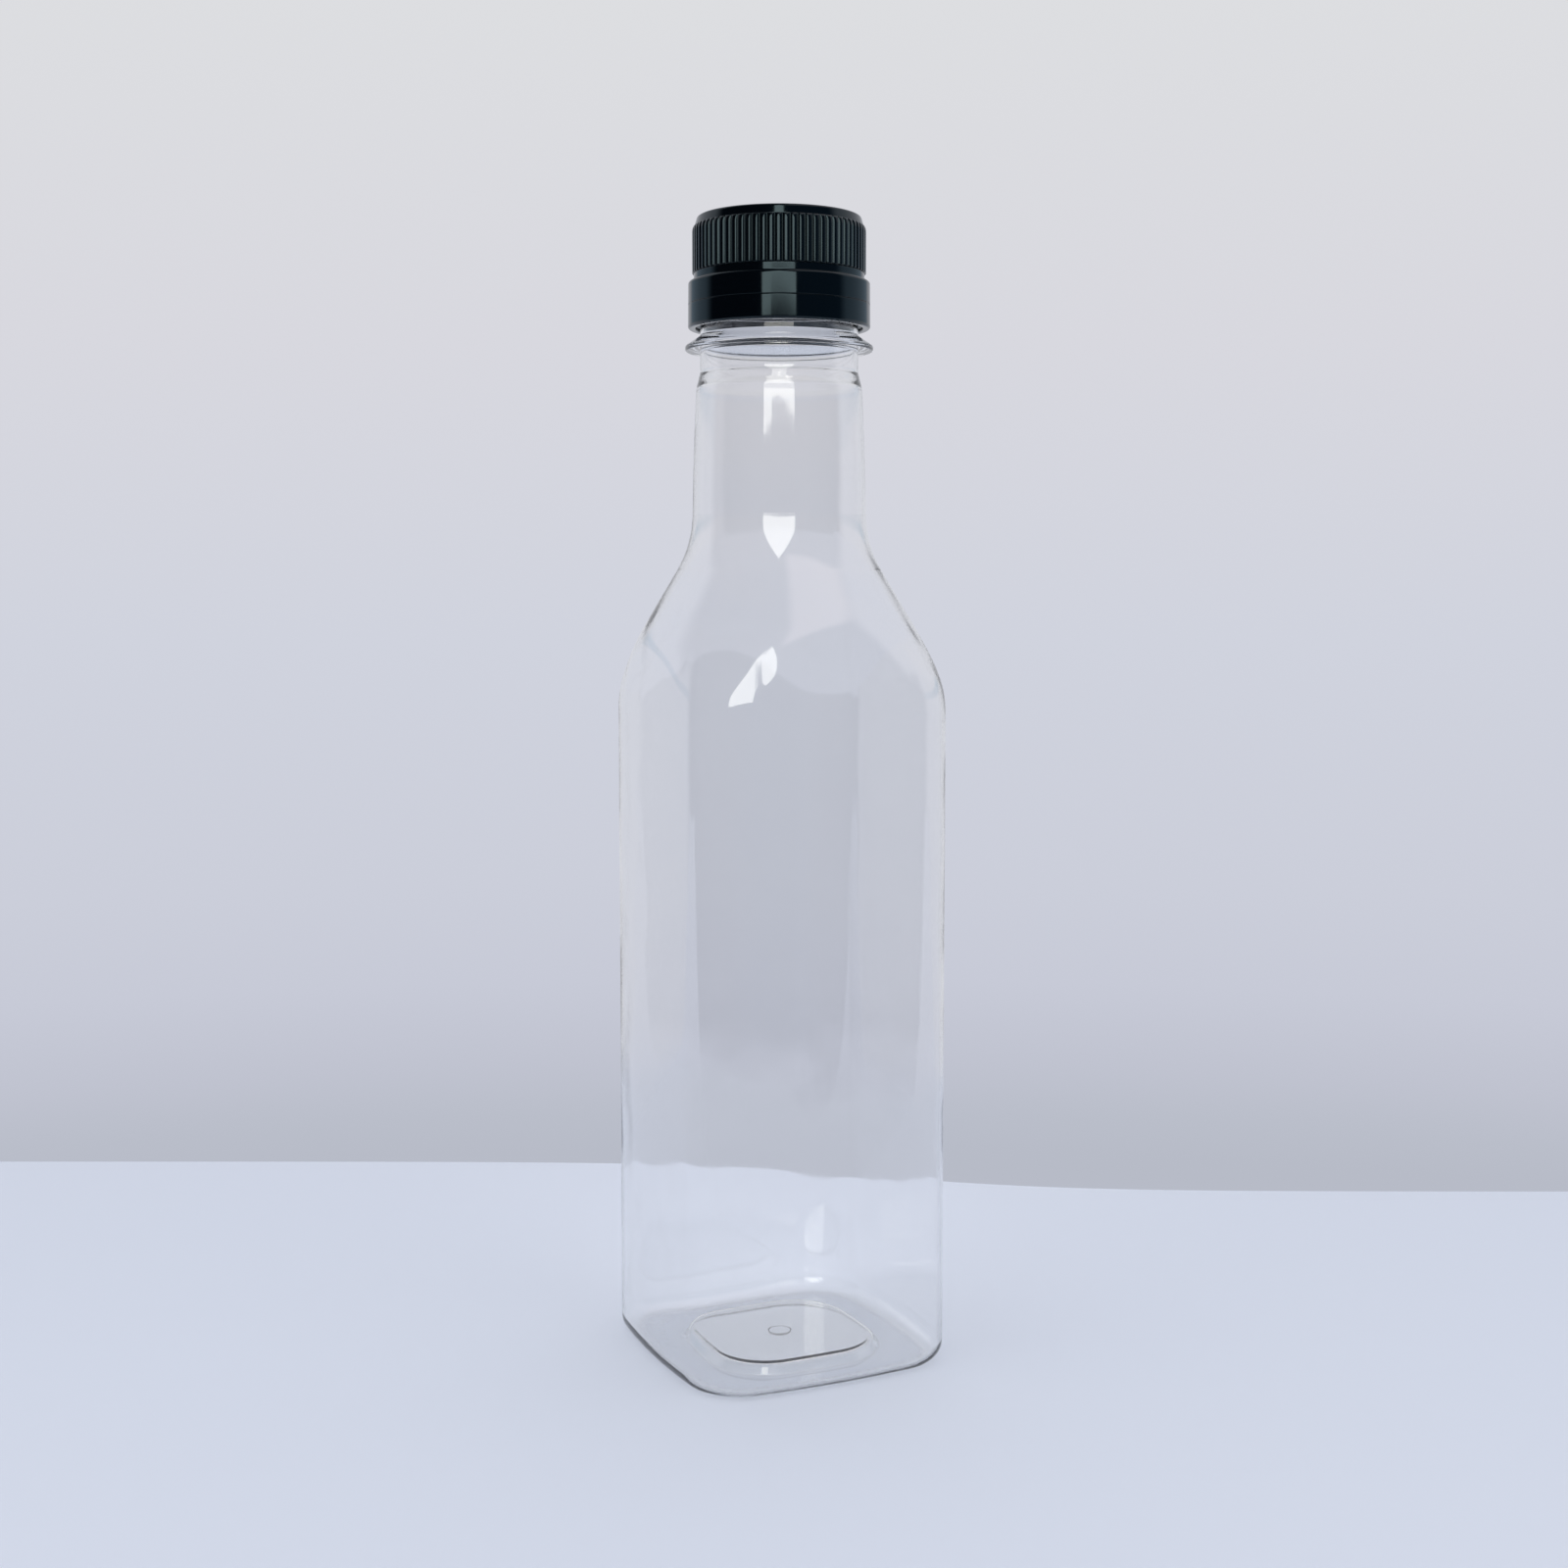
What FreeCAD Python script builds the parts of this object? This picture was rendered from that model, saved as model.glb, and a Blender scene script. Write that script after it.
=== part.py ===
# Small square-bodied oil bottle, blown in clear PET, with a moulded tamper-evident screw cap.
# Lengths are in millimetres. +Z is up and Z = 0 is the plane the bottle stands on.
# The origin is the middle of the foot. The four body faces look along X and Y.
import FreeCAD, Part
import math
import os

from FreeCAD import Vector

# ---- body
BODY_WIDTH = 50.7  # across the middles of two opposite faces
FACE_CROWN = 150.0  # each face is a very flat arc of this radius
BODY_CORNER = 11.3  # radius of the four upright corners
BODY_WALL = 0.4
HEEL_RADIUS = 3.2  # rounding between the faces and the foot

# ---- foot
FOOT_WALL = 0.6
PANEL_WIDTH = 32.0  # square panel pushed up in the middle of the foot
PANEL_CORNER = 10.7
PANEL_RISE = 1.8
PANEL_DRAFT = 1.2  # how much narrower the panel is at its top, on each side
PANEL_ROUND = 0.8
GATE_RADIUS = 2.0  # button left by the injection point, under the panel
GATE_DROP = 0.5

# ---- shoulder: a cone that meets the upright faces in four arches
SHOULDER_APEX = 144.1  # height where the cone would meet the neck
SHOULDER_ANGLE = 30.8  # slope of the cone from upright, in degrees
SHOULDER_BLEND = 16.0  # rounding between the faces and the cone
NECK_BLEND = 14.0  # rounding between the cone and the neck

# ---- neck
NECK_LENGTH = 29.9  # from the shoulder's apex to the collar
NECK_BASE_RADIUS = 15.46
NECK_TOP_RADIUS = 14.6
NECK_TOP_DROP = 2.6  # from the collar down to the neck's full top radius
NECK_TOP_ROUND = 2.0
NECK_SWELL = 0.2  # how far the middle of the neck stands out from a straight cone
NECK_SOFTENING = 250.0  # rounding of that swell
NECK_WALL = 0.5

# ---- neck finish: what the blowing doesn't stretch
FINISH_RADIUS = 12.47  # outside, at the foot of the thread
FINISH_WALL = 1.6
FINISH_HEIGHT = 21.6  # from the underside of the carry ring to the rim
RIM_ROUND = 0.4
COLLAR_STAND = 1.4  # how far the collar stands out from the finish
COLLAR_LENGTH = 3.9  # from the neck to the carry ring
COLLAR_WALL = 1.35
COLLAR_ROUND = 0.3
COLLAR_LIP = 0.9  # height of the collar's thick lower lip, above the neck's own wall
RING_STAND = 4.03  # how far the carry ring stands out from the finish
RING_RIM = 0.8
RING_ROUND = 0.25
RING_SLOPE = 2.6  # height of the ring, rim and sloping top together
BEAD_STAND = 1.93  # bead that holds the tamper-evident band
BEAD_LIFT = 6.0  # from the underside of the ring to the underside of the bead
BEAD_HEIGHT = 1.7
BEAD_LAND = 0.6  # upright part of the bead, below its sloping top

# ---- thread, one ridge on the finish and one in the cap
THREAD_DEPTH = 1.2
THREAD_PITCH = 3.18
THREAD_TURNS = 1.75
THREAD_FOOT = 1.5  # width of the ridge at its foot
THREAD_CREST = 0.9
THREAD_DROP = 8.3  # from the rim to the middle of the ridge's lower end
THREAD_ROOTING = 0.3  # how far a ridge reaches into its wall
THREAD_CLEARANCE = 0.25

# ---- cap
CAP_TOP_WALL = 1.5
CAP_WALL = 0.88  # at the bottom of the grooves between the ribs
RIB_COUNT = 72
RIB_DEPTH = 0.4
RIB_CREST = 0.35  # share of the rib's pitch that its crest takes
RIB_LENGTH = 8.1
RIB_TOP_DROP = 1.6  # from the cap's top to the ribs
CROWN_INSET = 0.45  # how much smaller the cap's top is than the bottom of the grooves
CROWN_ROUND = 0.5
CUFF_LENGTH = 1.4  # smooth stretch between the ribs and the skirt
CUFF_STAND = 0.15
SKIRT_WALL = 1.33
SKIRT_LENGTH = 3.9  # from the cuff to the tear slit
SKIRT_EDGE = 0.7
BAND_GAP = 1.25  # from the carry ring to the tamper-evident band
BAND_EDGE = 0.4
SLIT_WIDTH = 0.3
BRIDGE_COUNT = 12
BRIDGE_WIDTH = 0.9
BRIDGE_DEPTH = 0.6  # the bridges stay inside, so the slit shows all the way round
BEAD_CLEARANCE = 0.25  # round and under the bead
HOOK_CLEARANCE = 0.15  # between the band's inner hook and the finish
HOOK_HEIGHT = 1.3
PLUG_CLEARANCE = 0.05  # between the sealing plug and the bore
PLUG_WALL = 0.8
PLUG_LENGTH = 3.0

# ---- heights and radii that follow
COLLAR_BASE = SHOULDER_APEX + NECK_LENGTH
NECK_TOP = COLLAR_BASE - NECK_TOP_DROP
RING_BASE = COLLAR_BASE + COLLAR_LENGTH
RING_TOP = RING_BASE + RING_SLOPE
RIM = RING_BASE + FINISH_HEIGHT
BEAD_BASE = RING_BASE + BEAD_LIFT
BEAD_TOP = BEAD_BASE + BEAD_HEIGHT
THREAD_START = RIM - THREAD_DROP
CAP_TOP = RIM + CAP_TOP_WALL
RIB_TOP = CAP_TOP - RIB_TOP_DROP
RIB_BASE = RIB_TOP - RIB_LENGTH
SKIRT_TOP = RIB_BASE - CUFF_LENGTH
SLIT_TOP = SKIRT_TOP - SKIRT_LENGTH
SLIT_BASE = SLIT_TOP - SLIT_WIDTH
BAND_BASE = RING_TOP + BAND_GAP

BORE_RADIUS = FINISH_RADIUS - FINISH_WALL
COLLAR_RADIUS = FINISH_RADIUS + COLLAR_STAND
COLLAR_BORE = COLLAR_RADIUS - COLLAR_WALL
RING_RADIUS = FINISH_RADIUS + RING_STAND
BEAD_RADIUS = FINISH_RADIUS + BEAD_STAND
CAP_BORE = FINISH_RADIUS + THREAD_DEPTH + THREAD_CLEARANCE
RIB_ROOT = CAP_BORE + CAP_WALL
BAND_BORE = BEAD_RADIUS + BEAD_CLEARANCE
BAND_RADIUS = BAND_BORE + SKIRT_WALL

FULL_TURN = 360.0
UP = Vector(0, 0, 1)


def polar(radius, angle, z=0.0):
    """A point at an angle in degrees round Z."""
    turn = math.radians(angle)
    return Vector(radius * math.cos(turn), radius * math.sin(turn), z)


def arc(centre, radius, start, end):
    """An arc in the plane of its centre, between two angles in degrees."""
    ends_and_middle = [centre + polar(radius, angle) for angle in (start, (start + end) / 2, end)]
    return Part.Arc(*ends_and_middle).toShape()


def crowned_square(width, crown, corner, z):
    """A square wire with slightly crowned sides and rounded corners, every joint tangent."""
    back = crown - width / 2
    turn = math.degrees(math.acos(back / (crown - corner) / math.sqrt(2))) - 45
    corner_reach = (crown - corner) * math.sin(math.radians(turn)) * math.sqrt(2)
    edges = []
    for quarter in range(4):
        facing = 90 * quarter
        edges.append(arc(polar(-back, facing, z), crown, facing - turn, facing + turn))
        middle = polar(corner_reach, facing + 45, z)
        edges.append(arc(middle, corner, facing + turn, facing + 90 - turn))
    return Part.Wire(edges)


def rounded_wire(corners):
    """A closed wire in the XZ plane through corners given as (x, z, rounding)."""
    points = [Vector(x, 0, z) for x, z, _ in corners]
    count = len(points)
    bends = []
    for i in range(count):
        here = points[i]
        rounding = corners[i][2]
        before = (points[i - 1] - here).normalize()
        after = (points[(i + 1) % count] - here).normalize()
        half = before.getAngle(after) / 2
        reach = rounding / math.tan(half)
        middle = here + (before + after).normalize() * (rounding / math.sin(half) - rounding)
        bends.append((here + before * reach, middle, here + after * reach, rounding))
    edges = []
    for i in range(count):
        start, middle, end, rounding = bends[i]
        if rounding:
            edges.append(Part.Arc(start, middle, end).toShape())
        edges.append(Part.LineSegment(end, bends[(i + 1) % count][0]).toShape())
    return Part.Wire(edges)


def turned(corners):
    """The solid that a profile makes when it is turned about Z."""
    return Part.Face(rounded_wire(corners)).revolve(Vector(), UP, FULL_TURN)


def turned_ring(inner, outer, base, top):
    return turned([(inner, base, 0), (outer, base, 0), (outer, top, 0), (inner, top, 0)])


def ridge(foot_radius, crest_radius, start):
    """A thread ridge from foot_radius to crest_radius, rooted a little way into its wall."""
    outward = 1 if crest_radius > foot_radius else -1
    root_radius = foot_radius - outward * THREAD_ROOTING
    path = Part.makeHelix(THREAD_PITCH, THREAD_PITCH * THREAD_TURNS, foot_radius)
    section = Part.makePolygon([
        Vector(root_radius, 0, -THREAD_FOOT / 2),
        Vector(foot_radius, 0, -THREAD_FOOT / 2),
        Vector(crest_radius, 0, -THREAD_CREST / 2),
        Vector(crest_radius, 0, THREAD_CREST / 2),
        Vector(foot_radius, 0, THREAD_FOOT / 2),
        Vector(root_radius, 0, THREAD_FOOT / 2),
        Vector(root_radius, 0, -THREAD_FOOT / 2),
    ])
    swept = Part.Wire(path.Edges).makePipeShell([section], True, True)
    swept.translate(UP * start)
    return swept


def rounded_off(shape, radius, low, high, reach):
    """The shape with each edge rounded that lies between two heights and within reach of Z."""
    chosen = []
    for edge in shape.Edges:
        box = edge.BoundBox
        if low < box.ZMin and box.ZMax < high and box.XMax < reach:
            chosen.append(edge)
    return shape.makeFillet(radius, chosen)


def cone_and_neck(wall, neck_wall, base):
    """Corners of the turned profile from base up to the neck, drawn in by the two walls."""
    angle = math.radians(SHOULDER_ANGLE)
    slope = math.tan(angle)
    neck = NECK_BASE_RADIUS - neck_wall
    apex = SHOULDER_APEX - (wall / math.cos(angle) - neck_wall) / slope
    middle = (NECK_BASE_RADIUS + NECK_TOP_RADIUS) / 2 + NECK_SWELL - neck_wall
    return [
        (0, base, 0),
        (BODY_WIDTH, base, 0),
        (BODY_WIDTH, apex - (BODY_WIDTH - neck) / slope, 0),
        (neck, apex, NECK_BLEND + wall),
        (middle, (SHOULDER_APEX + NECK_TOP) / 2, NECK_SOFTENING),
        (NECK_TOP_RADIUS - neck_wall, NECK_TOP, NECK_TOP_ROUND),
    ]


def square_and_round(inset, foot, top, profile):
    """The upright body drawn in by inset, limited by a turned profile, its arches and heel rounded."""
    square = crowned_square(BODY_WIDTH - 2 * inset, FACE_CROWN - inset, BODY_CORNER - inset, foot)
    prism = Part.Face(square).extrude(UP * (top - foot))
    shaped = prism.common(turned(profile))
    slope = math.tan(math.radians(SHOULDER_ANGLE))
    arch_low = SHOULDER_APEX - (BODY_WIDTH - NECK_BASE_RADIUS) / slope
    arch_high = SHOULDER_APEX - (BODY_WIDTH / 2 - NECK_BASE_RADIUS) / slope + BODY_WALL
    shaped = rounded_off(shaped, SHOULDER_BLEND - inset, arch_low, arch_high, BODY_WIDTH)
    return rounded_off(shaped, HEEL_RADIUS - inset, foot - 0.1, foot + 0.1, BODY_WIDTH)


def panel(grown):
    """The pushed-up panel of the foot as a solid, grown on its sides and its top."""
    low = crowned_square(PANEL_WIDTH + 2 * grown, FACE_CROWN, PANEL_CORNER + grown, 0)
    rise = PANEL_RISE + grown
    draft = 2 * PANEL_DRAFT * rise / PANEL_RISE
    high_width = PANEL_WIDTH + 2 * grown - draft
    high = crowned_square(high_width, FACE_CROWN, PANEL_CORNER + grown - draft / 2, rise)
    block = Part.makeLoft([low, high], True, True)
    return rounded_off(block, PANEL_ROUND + grown, rise - 0.1, rise + 0.1, PANEL_WIDTH)


def bottle():
    outside = cone_and_neck(0, 0, -HEEL_RADIUS) + [
        (COLLAR_RADIUS, COLLAR_BASE, COLLAR_ROUND),
        (COLLAR_RADIUS, RING_BASE, COLLAR_ROUND),
        (RING_RADIUS, RING_BASE, RING_ROUND),
        (RING_RADIUS, RING_BASE + RING_RIM, RING_ROUND),
        (COLLAR_RADIUS, RING_TOP, COLLAR_ROUND),
        (COLLAR_RADIUS, BEAD_BASE, 0),
        (BEAD_RADIUS, BEAD_BASE, RING_ROUND),
        (BEAD_RADIUS, BEAD_BASE + BEAD_LAND, RING_ROUND),
        (FINISH_RADIUS, BEAD_TOP, COLLAR_ROUND),
        (FINISH_RADIUS, RIM, RIM_ROUND),
        (0, RIM, 0),
    ]
    inside = cone_and_neck(BODY_WALL, NECK_WALL, 0) + [
        (COLLAR_BORE, COLLAR_BASE - COLLAR_LIP, 0),
        (BORE_RADIUS, RING_TOP, 0),
        (BORE_RADIUS, RIM, 0),
        (0, RIM, 0),
    ]
    outer = square_and_round(0, 0, RIM, outside).cut(panel(0))
    outer = rounded_off(outer, PANEL_ROUND, -0.1, 0.1, PANEL_WIDTH / 2 + PANEL_ROUND)
    space = square_and_round(BODY_WALL, FOOT_WALL, RIM, inside).cut(panel(FOOT_WALL))
    gate_base = PANEL_RISE - GATE_DROP
    gate = Part.makeCylinder(GATE_RADIUS, GATE_DROP + FOOT_WALL / 2, Vector(0, 0, gate_base))
    thread = ridge(FINISH_RADIUS, FINISH_RADIUS + THREAD_DEPTH, THREAD_START)
    return outer.cut(space).fuse([gate, thread])


def ribbed_drum():
    """The grip: a drum with upright V grooves, its ribs sloping in at their tops."""
    crest = RIB_ROOT + RIB_DEPTH
    pitch = FULL_TURN / RIB_COUNT
    half_crest = RIB_CREST * pitch / 2
    edges = []
    for i in range(RIB_COUNT):
        middle = i * pitch
        groove = polar(RIB_ROOT, middle + pitch / 2)
        next_crest = polar(crest, middle + pitch - half_crest)
        edges.append(arc(Vector(), crest, middle - half_crest, middle + half_crest))
        edges.append(Part.LineSegment(polar(crest, middle + half_crest), groove).toShape())
        edges.append(Part.LineSegment(groove, next_crest).toShape())
    drum = Part.Face(Part.Wire(edges)).extrude(UP * RIB_LENGTH)
    drum.translate(UP * RIB_BASE)
    beyond = crest + RIB_DEPTH
    return drum.common(turned([
        (0, RIB_BASE, 0),
        (beyond, RIB_BASE, 0),
        (beyond, RIB_TOP - 2 * RIB_DEPTH, 0),
        (RIB_ROOT, RIB_TOP, 0),
        (0, RIB_TOP, 0),
    ]))


def tear_slit():
    """What the slit takes away: a thin ring all round, but for the bridges at its inside."""
    slit = turned_ring(BAND_BORE - 1, BAND_RADIUS + 1, SLIT_BASE, SLIT_TOP)
    reach = BAND_BORE + BRIDGE_DEPTH
    corner = Vector(0, -BRIDGE_WIDTH / 2, SLIT_BASE)
    for i in range(BRIDGE_COUNT):
        bridge = Part.makeBox(reach, BRIDGE_WIDTH, SLIT_WIDTH, corner)
        bridge.rotate(Vector(), UP, i * FULL_TURN / BRIDGE_COUNT)
        slit = slit.cut(bridge)
    return slit


def cap():
    cuff = RIB_ROOT + CUFF_STAND
    body = turned([
        (0, BAND_BASE, 0),
        (BAND_RADIUS, BAND_BASE, BAND_EDGE),
        (BAND_RADIUS, SKIRT_TOP, SKIRT_EDGE),
        (cuff, SKIRT_TOP, 0),
        (cuff, RIB_BASE, 0),
        (RIB_ROOT, RIB_BASE, 0),
        (RIB_ROOT, RIB_TOP, 0),
        (RIB_ROOT - CROWN_INSET, CAP_TOP, CROWN_ROUND),
        (0, CAP_TOP, 0),
    ])
    wide_to = SLIT_TOP + BEAD_CLEARANCE
    cavity = turned([
        (0, BAND_BASE - 1, 0),
        (BAND_BORE, BAND_BASE - 1, 0),
        (BAND_BORE, wide_to, 0),
        (CAP_BORE, wide_to + BAND_BORE - CAP_BORE, 0),
        (CAP_BORE, RIM, 0),
        (0, RIM, 0),
    ])
    hook_top = BEAD_BASE - BEAD_CLEARANCE
    hook_radius = COLLAR_RADIUS + HOOK_CLEARANCE
    hook_foot = BAND_BORE + HOOK_CLEARANCE
    hook = turned([
        (hook_foot, hook_top - HOOK_HEIGHT, 0),
        (hook_radius, hook_top - HOOK_HEIGHT / 3, 0),
        (hook_radius, hook_top, 0),
        (hook_foot, hook_top, 0),
    ])
    plug_radius = BORE_RADIUS - PLUG_CLEARANCE
    plug = turned_ring(plug_radius - PLUG_WALL, plug_radius, RIM - PLUG_LENGTH, RIM + PLUG_WALL / 2)
    thread = ridge(CAP_BORE, CAP_BORE - THREAD_DEPTH, THREAD_START - THREAD_PITCH / 2)
    shell = body.fuse(ribbed_drum()).cut(cavity)
    return shell.fuse([hook, plug, thread]).cut(tear_slit())


def main():
    os.makedirs("parts", exist_ok=True)
    for name, make in (("bottle", bottle), ("cap", cap)):
        shape = make().removeSplitter()
        solids = shape.Solids
        print(name, "solids", len(solids), "valid", shape.isValid(), "volume", round(shape.Volume, 1))
        solids[0].exportStep(f"parts/{name}.step")


main()
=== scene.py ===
import math

import bpy
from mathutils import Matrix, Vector


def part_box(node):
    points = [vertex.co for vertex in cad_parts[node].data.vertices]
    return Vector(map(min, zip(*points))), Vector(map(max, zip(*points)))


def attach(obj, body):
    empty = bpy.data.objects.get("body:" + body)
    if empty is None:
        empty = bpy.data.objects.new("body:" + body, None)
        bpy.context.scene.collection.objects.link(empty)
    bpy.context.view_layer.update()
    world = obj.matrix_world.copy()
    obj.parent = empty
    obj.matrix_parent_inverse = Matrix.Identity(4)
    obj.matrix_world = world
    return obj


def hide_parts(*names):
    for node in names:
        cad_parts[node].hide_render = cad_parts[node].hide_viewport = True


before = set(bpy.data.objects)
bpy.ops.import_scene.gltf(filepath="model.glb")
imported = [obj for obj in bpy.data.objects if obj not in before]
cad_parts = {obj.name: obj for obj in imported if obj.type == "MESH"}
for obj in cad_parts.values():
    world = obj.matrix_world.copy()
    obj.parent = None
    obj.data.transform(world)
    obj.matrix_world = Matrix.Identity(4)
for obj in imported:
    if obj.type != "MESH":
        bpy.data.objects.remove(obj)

bl_info = {
    "name": "Plastic oil bottle",
    "version": (1, 0, 0),
    "blender": (4, 5, 0),
    "location": "View3D > Sidebar > Oil bottle",
    "description": "Makes a clear oil bottle with its ribbed screw cap, and the stage it stands on",
    "category": "Add Mesh",
}

MM = 0.001
BODY = "root"
BOTTLE_LOW, BOTTLE_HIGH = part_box("bottle")
FAR = 1.0  # a reach that never limits a ring
EIGHTH = math.pi / 4
BOTTLE_COLUMNS = 184  # round the bottle: a multiple of 8, and under 200,000 triangles in all
CAP_COLUMNS = 144
RIB_COLUMNS = 16  # columns across one rib
# Distances between rings, along the outline
FOOT_SPACING, BODY_SPACING, NECK_SPACING, CAP_SPACING = 1.5 * MM, 3 * MM, 0.9 * MM, 3 * MM


# ---- settings -------------------------------------------------------------------------------

def length(name, millimetres, description):
    return bpy.props.FloatProperty(
        name=name, description=description, default=millimetres * MM,
        unit="LENGTH", subtype="DISTANCE", precision=5)


def colour(name, code, description):
    return bpy.props.FloatVectorProperty(
        name=name, description=description, default=linear(code),
        subtype="COLOR", size=4, min=0, max=1)


def amount(name, default, description):
    return bpy.props.FloatProperty(name=name, description=description, default=default)


def linear(code):
    """An sRGB hex value as the linear colour that the nodes take."""
    channels = [int(code[i:i + 2], 16) / 255 for i in (0, 2, 4)]
    return [c / 12.92 if c <= 0.04045 else ((c + 0.055) / 1.055) ** 2.4 for c in channels] + [1.0]


class BottleSizes(bpy.types.PropertyGroup):
    """What the blown bottle measures"""
    body_width: length("Body width", (BOTTLE_HIGH.x - BOTTLE_LOW.x) / MM, "Across two opposite faces")
    face_crown: length("Face crown", 150, "Radius of the very flat arc of each face")
    body_corner: length("Body corner", 11.3, "Radius of the four upright corners")
    body_wall: length("Body wall", 0.4, "Thickness of the blown wall")
    heel: length("Heel", 3.2, "Rounding between the faces and the foot")
    foot_wall: length("Foot wall", 0.6, "Thickness under the panel and the heel")
    panel_width: length("Panel width", 32, "Square panel pushed up in the foot")
    panel_corner: length("Panel corner", 10.7, "Corner radius of that panel")
    panel_rise: length("Panel rise", 1.8, "How far the panel is pushed up")
    panel_draft: length("Panel draft", 1.2, "How much narrower the panel is at its top, each side")
    panel_round: length("Panel rounding", 0.8, "Rounding at the panel's two edges")
    gate_radius: length("Gate radius", 2, "Button left by the injection point")
    gate_drop: length("Gate drop", 0.5, "How far the button hangs under the panel")
    shoulder_apex: length("Shoulder apex", 144.1, "Height where the cone would meet the neck")
    shoulder_angle: bpy.props.FloatProperty(
        name="Shoulder angle", description="Slope of the cone from upright",
        default=math.radians(30.8), subtype="ANGLE", unit="ROTATION")
    shoulder_blend: length("Shoulder blend", 16, "Rounding between the faces and the cone")
    neck_blend: length("Neck blend", 19, "Rounding between the cone and the neck")
    neck_base: length("Neck base radius", 15.46, "Radius where the cone would meet the neck")
    neck_top: length("Neck top radius", 14.6, "Radius under the collar")
    neck_top_drop: length("Neck top drop", 2.6, "From the collar down to the neck's full top radius")
    neck_length: length("Neck length", 29.9, "From the shoulder's apex to the collar")
    neck_swell: length("Neck swell", 0.11, "How far the middle of the neck stands out")
    neck_wall: length("Neck wall", 0.5, "Thickness of the neck")
    finish_radius: length("Finish radius", 12.47, "Outside radius at the foot of the thread")
    finish_wall: length("Finish wall", 1.6, "Thickness of the unblown finish")
    finish_height: length("Finish height", 21.6, "From the carry ring's underside to the rim")
    collar_stand: length("Collar stand", 1.4, "How far the collar stands out from the finish")
    collar_length: length("Collar length", 3.9, "From the neck to the carry ring")
    collar_wall: length("Collar wall", 0.65, "Thickness of the collar")
    ring_stand: length("Ring stand", 4.03, "How far the carry ring stands out from the finish")
    ring_rim: length("Ring rim", 0.8, "Upright rim of the carry ring")
    ring_slope: length("Ring slope", 2.6, "Height of the carry ring with its sloping top")
    bead_stand: length("Bead stand", 1.93, "How far the bead under the cap's band stands out")
    bead_lift: length("Bead lift", 6, "From the carry ring's underside to the bead")
    bead_height: length("Bead height", 1.7, "Height of the bead")
    bead_land: length("Bead land", 0.6, "Upright part of the bead")
    waviness: length("Waviness", 0.3, "How unevenly the blown wall comes out")


class ThreadSizes(bpy.types.PropertyGroup):
    """The thread that the finish and the cap share"""
    depth: length("Depth", 1.2, "Height of a ridge over its wall")
    pitch: length("Pitch", 3.18, "Rise of one turn")
    turns: amount("Turns", 1.75, "Turns of each ridge")
    foot: length("Foot", 1.5, "Width of a ridge at its wall")
    crest: length("Crest", 0.9, "Width of a ridge at its top")
    drop: length("Drop", 8.3, "From the rim to the ridge's lower end")
    rooting: length("Rooting", 0.3, "How far a ridge reaches into its wall")
    clearance: length("Clearance", 0.25, "Between a ridge's crest and the other wall")


class CapSizes(bpy.types.PropertyGroup):
    """What the cap measures"""
    top_wall: length("Top wall", 1.5, "Thickness of the top")
    wall: length("Wall", 0.88, "Thickness of the wall between the ribs")
    rib_count: bpy.props.IntProperty(name="Ribs", description="Grip ribs round the cap", default=72)
    rib_depth: length("Rib depth", 0.4, "How far a rib stands out")
    rib_bluntness: amount("Rib bluntness", 3, "Power by which a rib falls from its crest")
    rib_length: length("Rib length", 8.1, "Height of the ribs")
    rib_top_drop: length("Rib top drop", 1.6, "From the cap's top to the ribs")
    rib_taper: length("Rib taper", 1.1, "Rounded stretch at a rib's top")
    crown_inset: length("Crown inset", 0.45, "How much smaller the top is than the wall")
    crown_round: length("Crown rounding", 0.5, "Rounding of the top's edge")
    cuff_length: length("Cuff length", 1.4, "Smooth stretch between the ribs and the skirt")
    cuff_stand: length("Cuff stand", 0.15, "How far the cuff stands out from the wall")
    skirt_wall: length("Skirt wall", 1.33, "Thickness of the skirt and the band")
    skirt_length: length("Skirt length", 3.9, "From the cuff to the tear slit")
    skirt_edge: length("Skirt edge", 0.5, "Rounding of the skirt's upper edge")
    draft: amount("Draft", 0.007, "Slope of the skirt's and the band's outside from upright")
    band_gap: length("Band gap", 1.25, "From the carry ring to the band")
    band_edge: length("Band edge", 0.4, "Rounding of the band's lower edge")
    slit: length("Slit", 0.3, "Width of the tear slit inside")
    slit_mouth: length("Slit mouth", 0.08, "Width left of the slit on the outside")
    slit_lap: length("Slit lap", 0.35, "Thickness of the film that closes the slit inside")
    bridge_count: bpy.props.IntProperty(
        name="Bridges", description="Thin bridges that tear when the cap is opened", default=12)
    bridge_width: length("Bridge width", 0.9, "Width of a bridge")
    bridge_depth: length("Bridge depth", 0.6, "Depth of a bridge, from the inside")
    bead_clearance: length("Bead clearance", 0.25, "Round and under the bead")
    hook_clearance: length("Hook clearance", 0.15, "Between the band's hook and the finish")
    hook_height: length("Hook height", 1.3, "Height of the hook inside the band")
    plug_clearance: length("Plug clearance", 0.05, "Between the sealing plug and the bore")
    plug_wall: length("Plug wall", 0.8, "Thickness of the sealing plug")
    plug_length: length("Plug length", 3, "How far the plug reaches into the bore")


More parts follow.
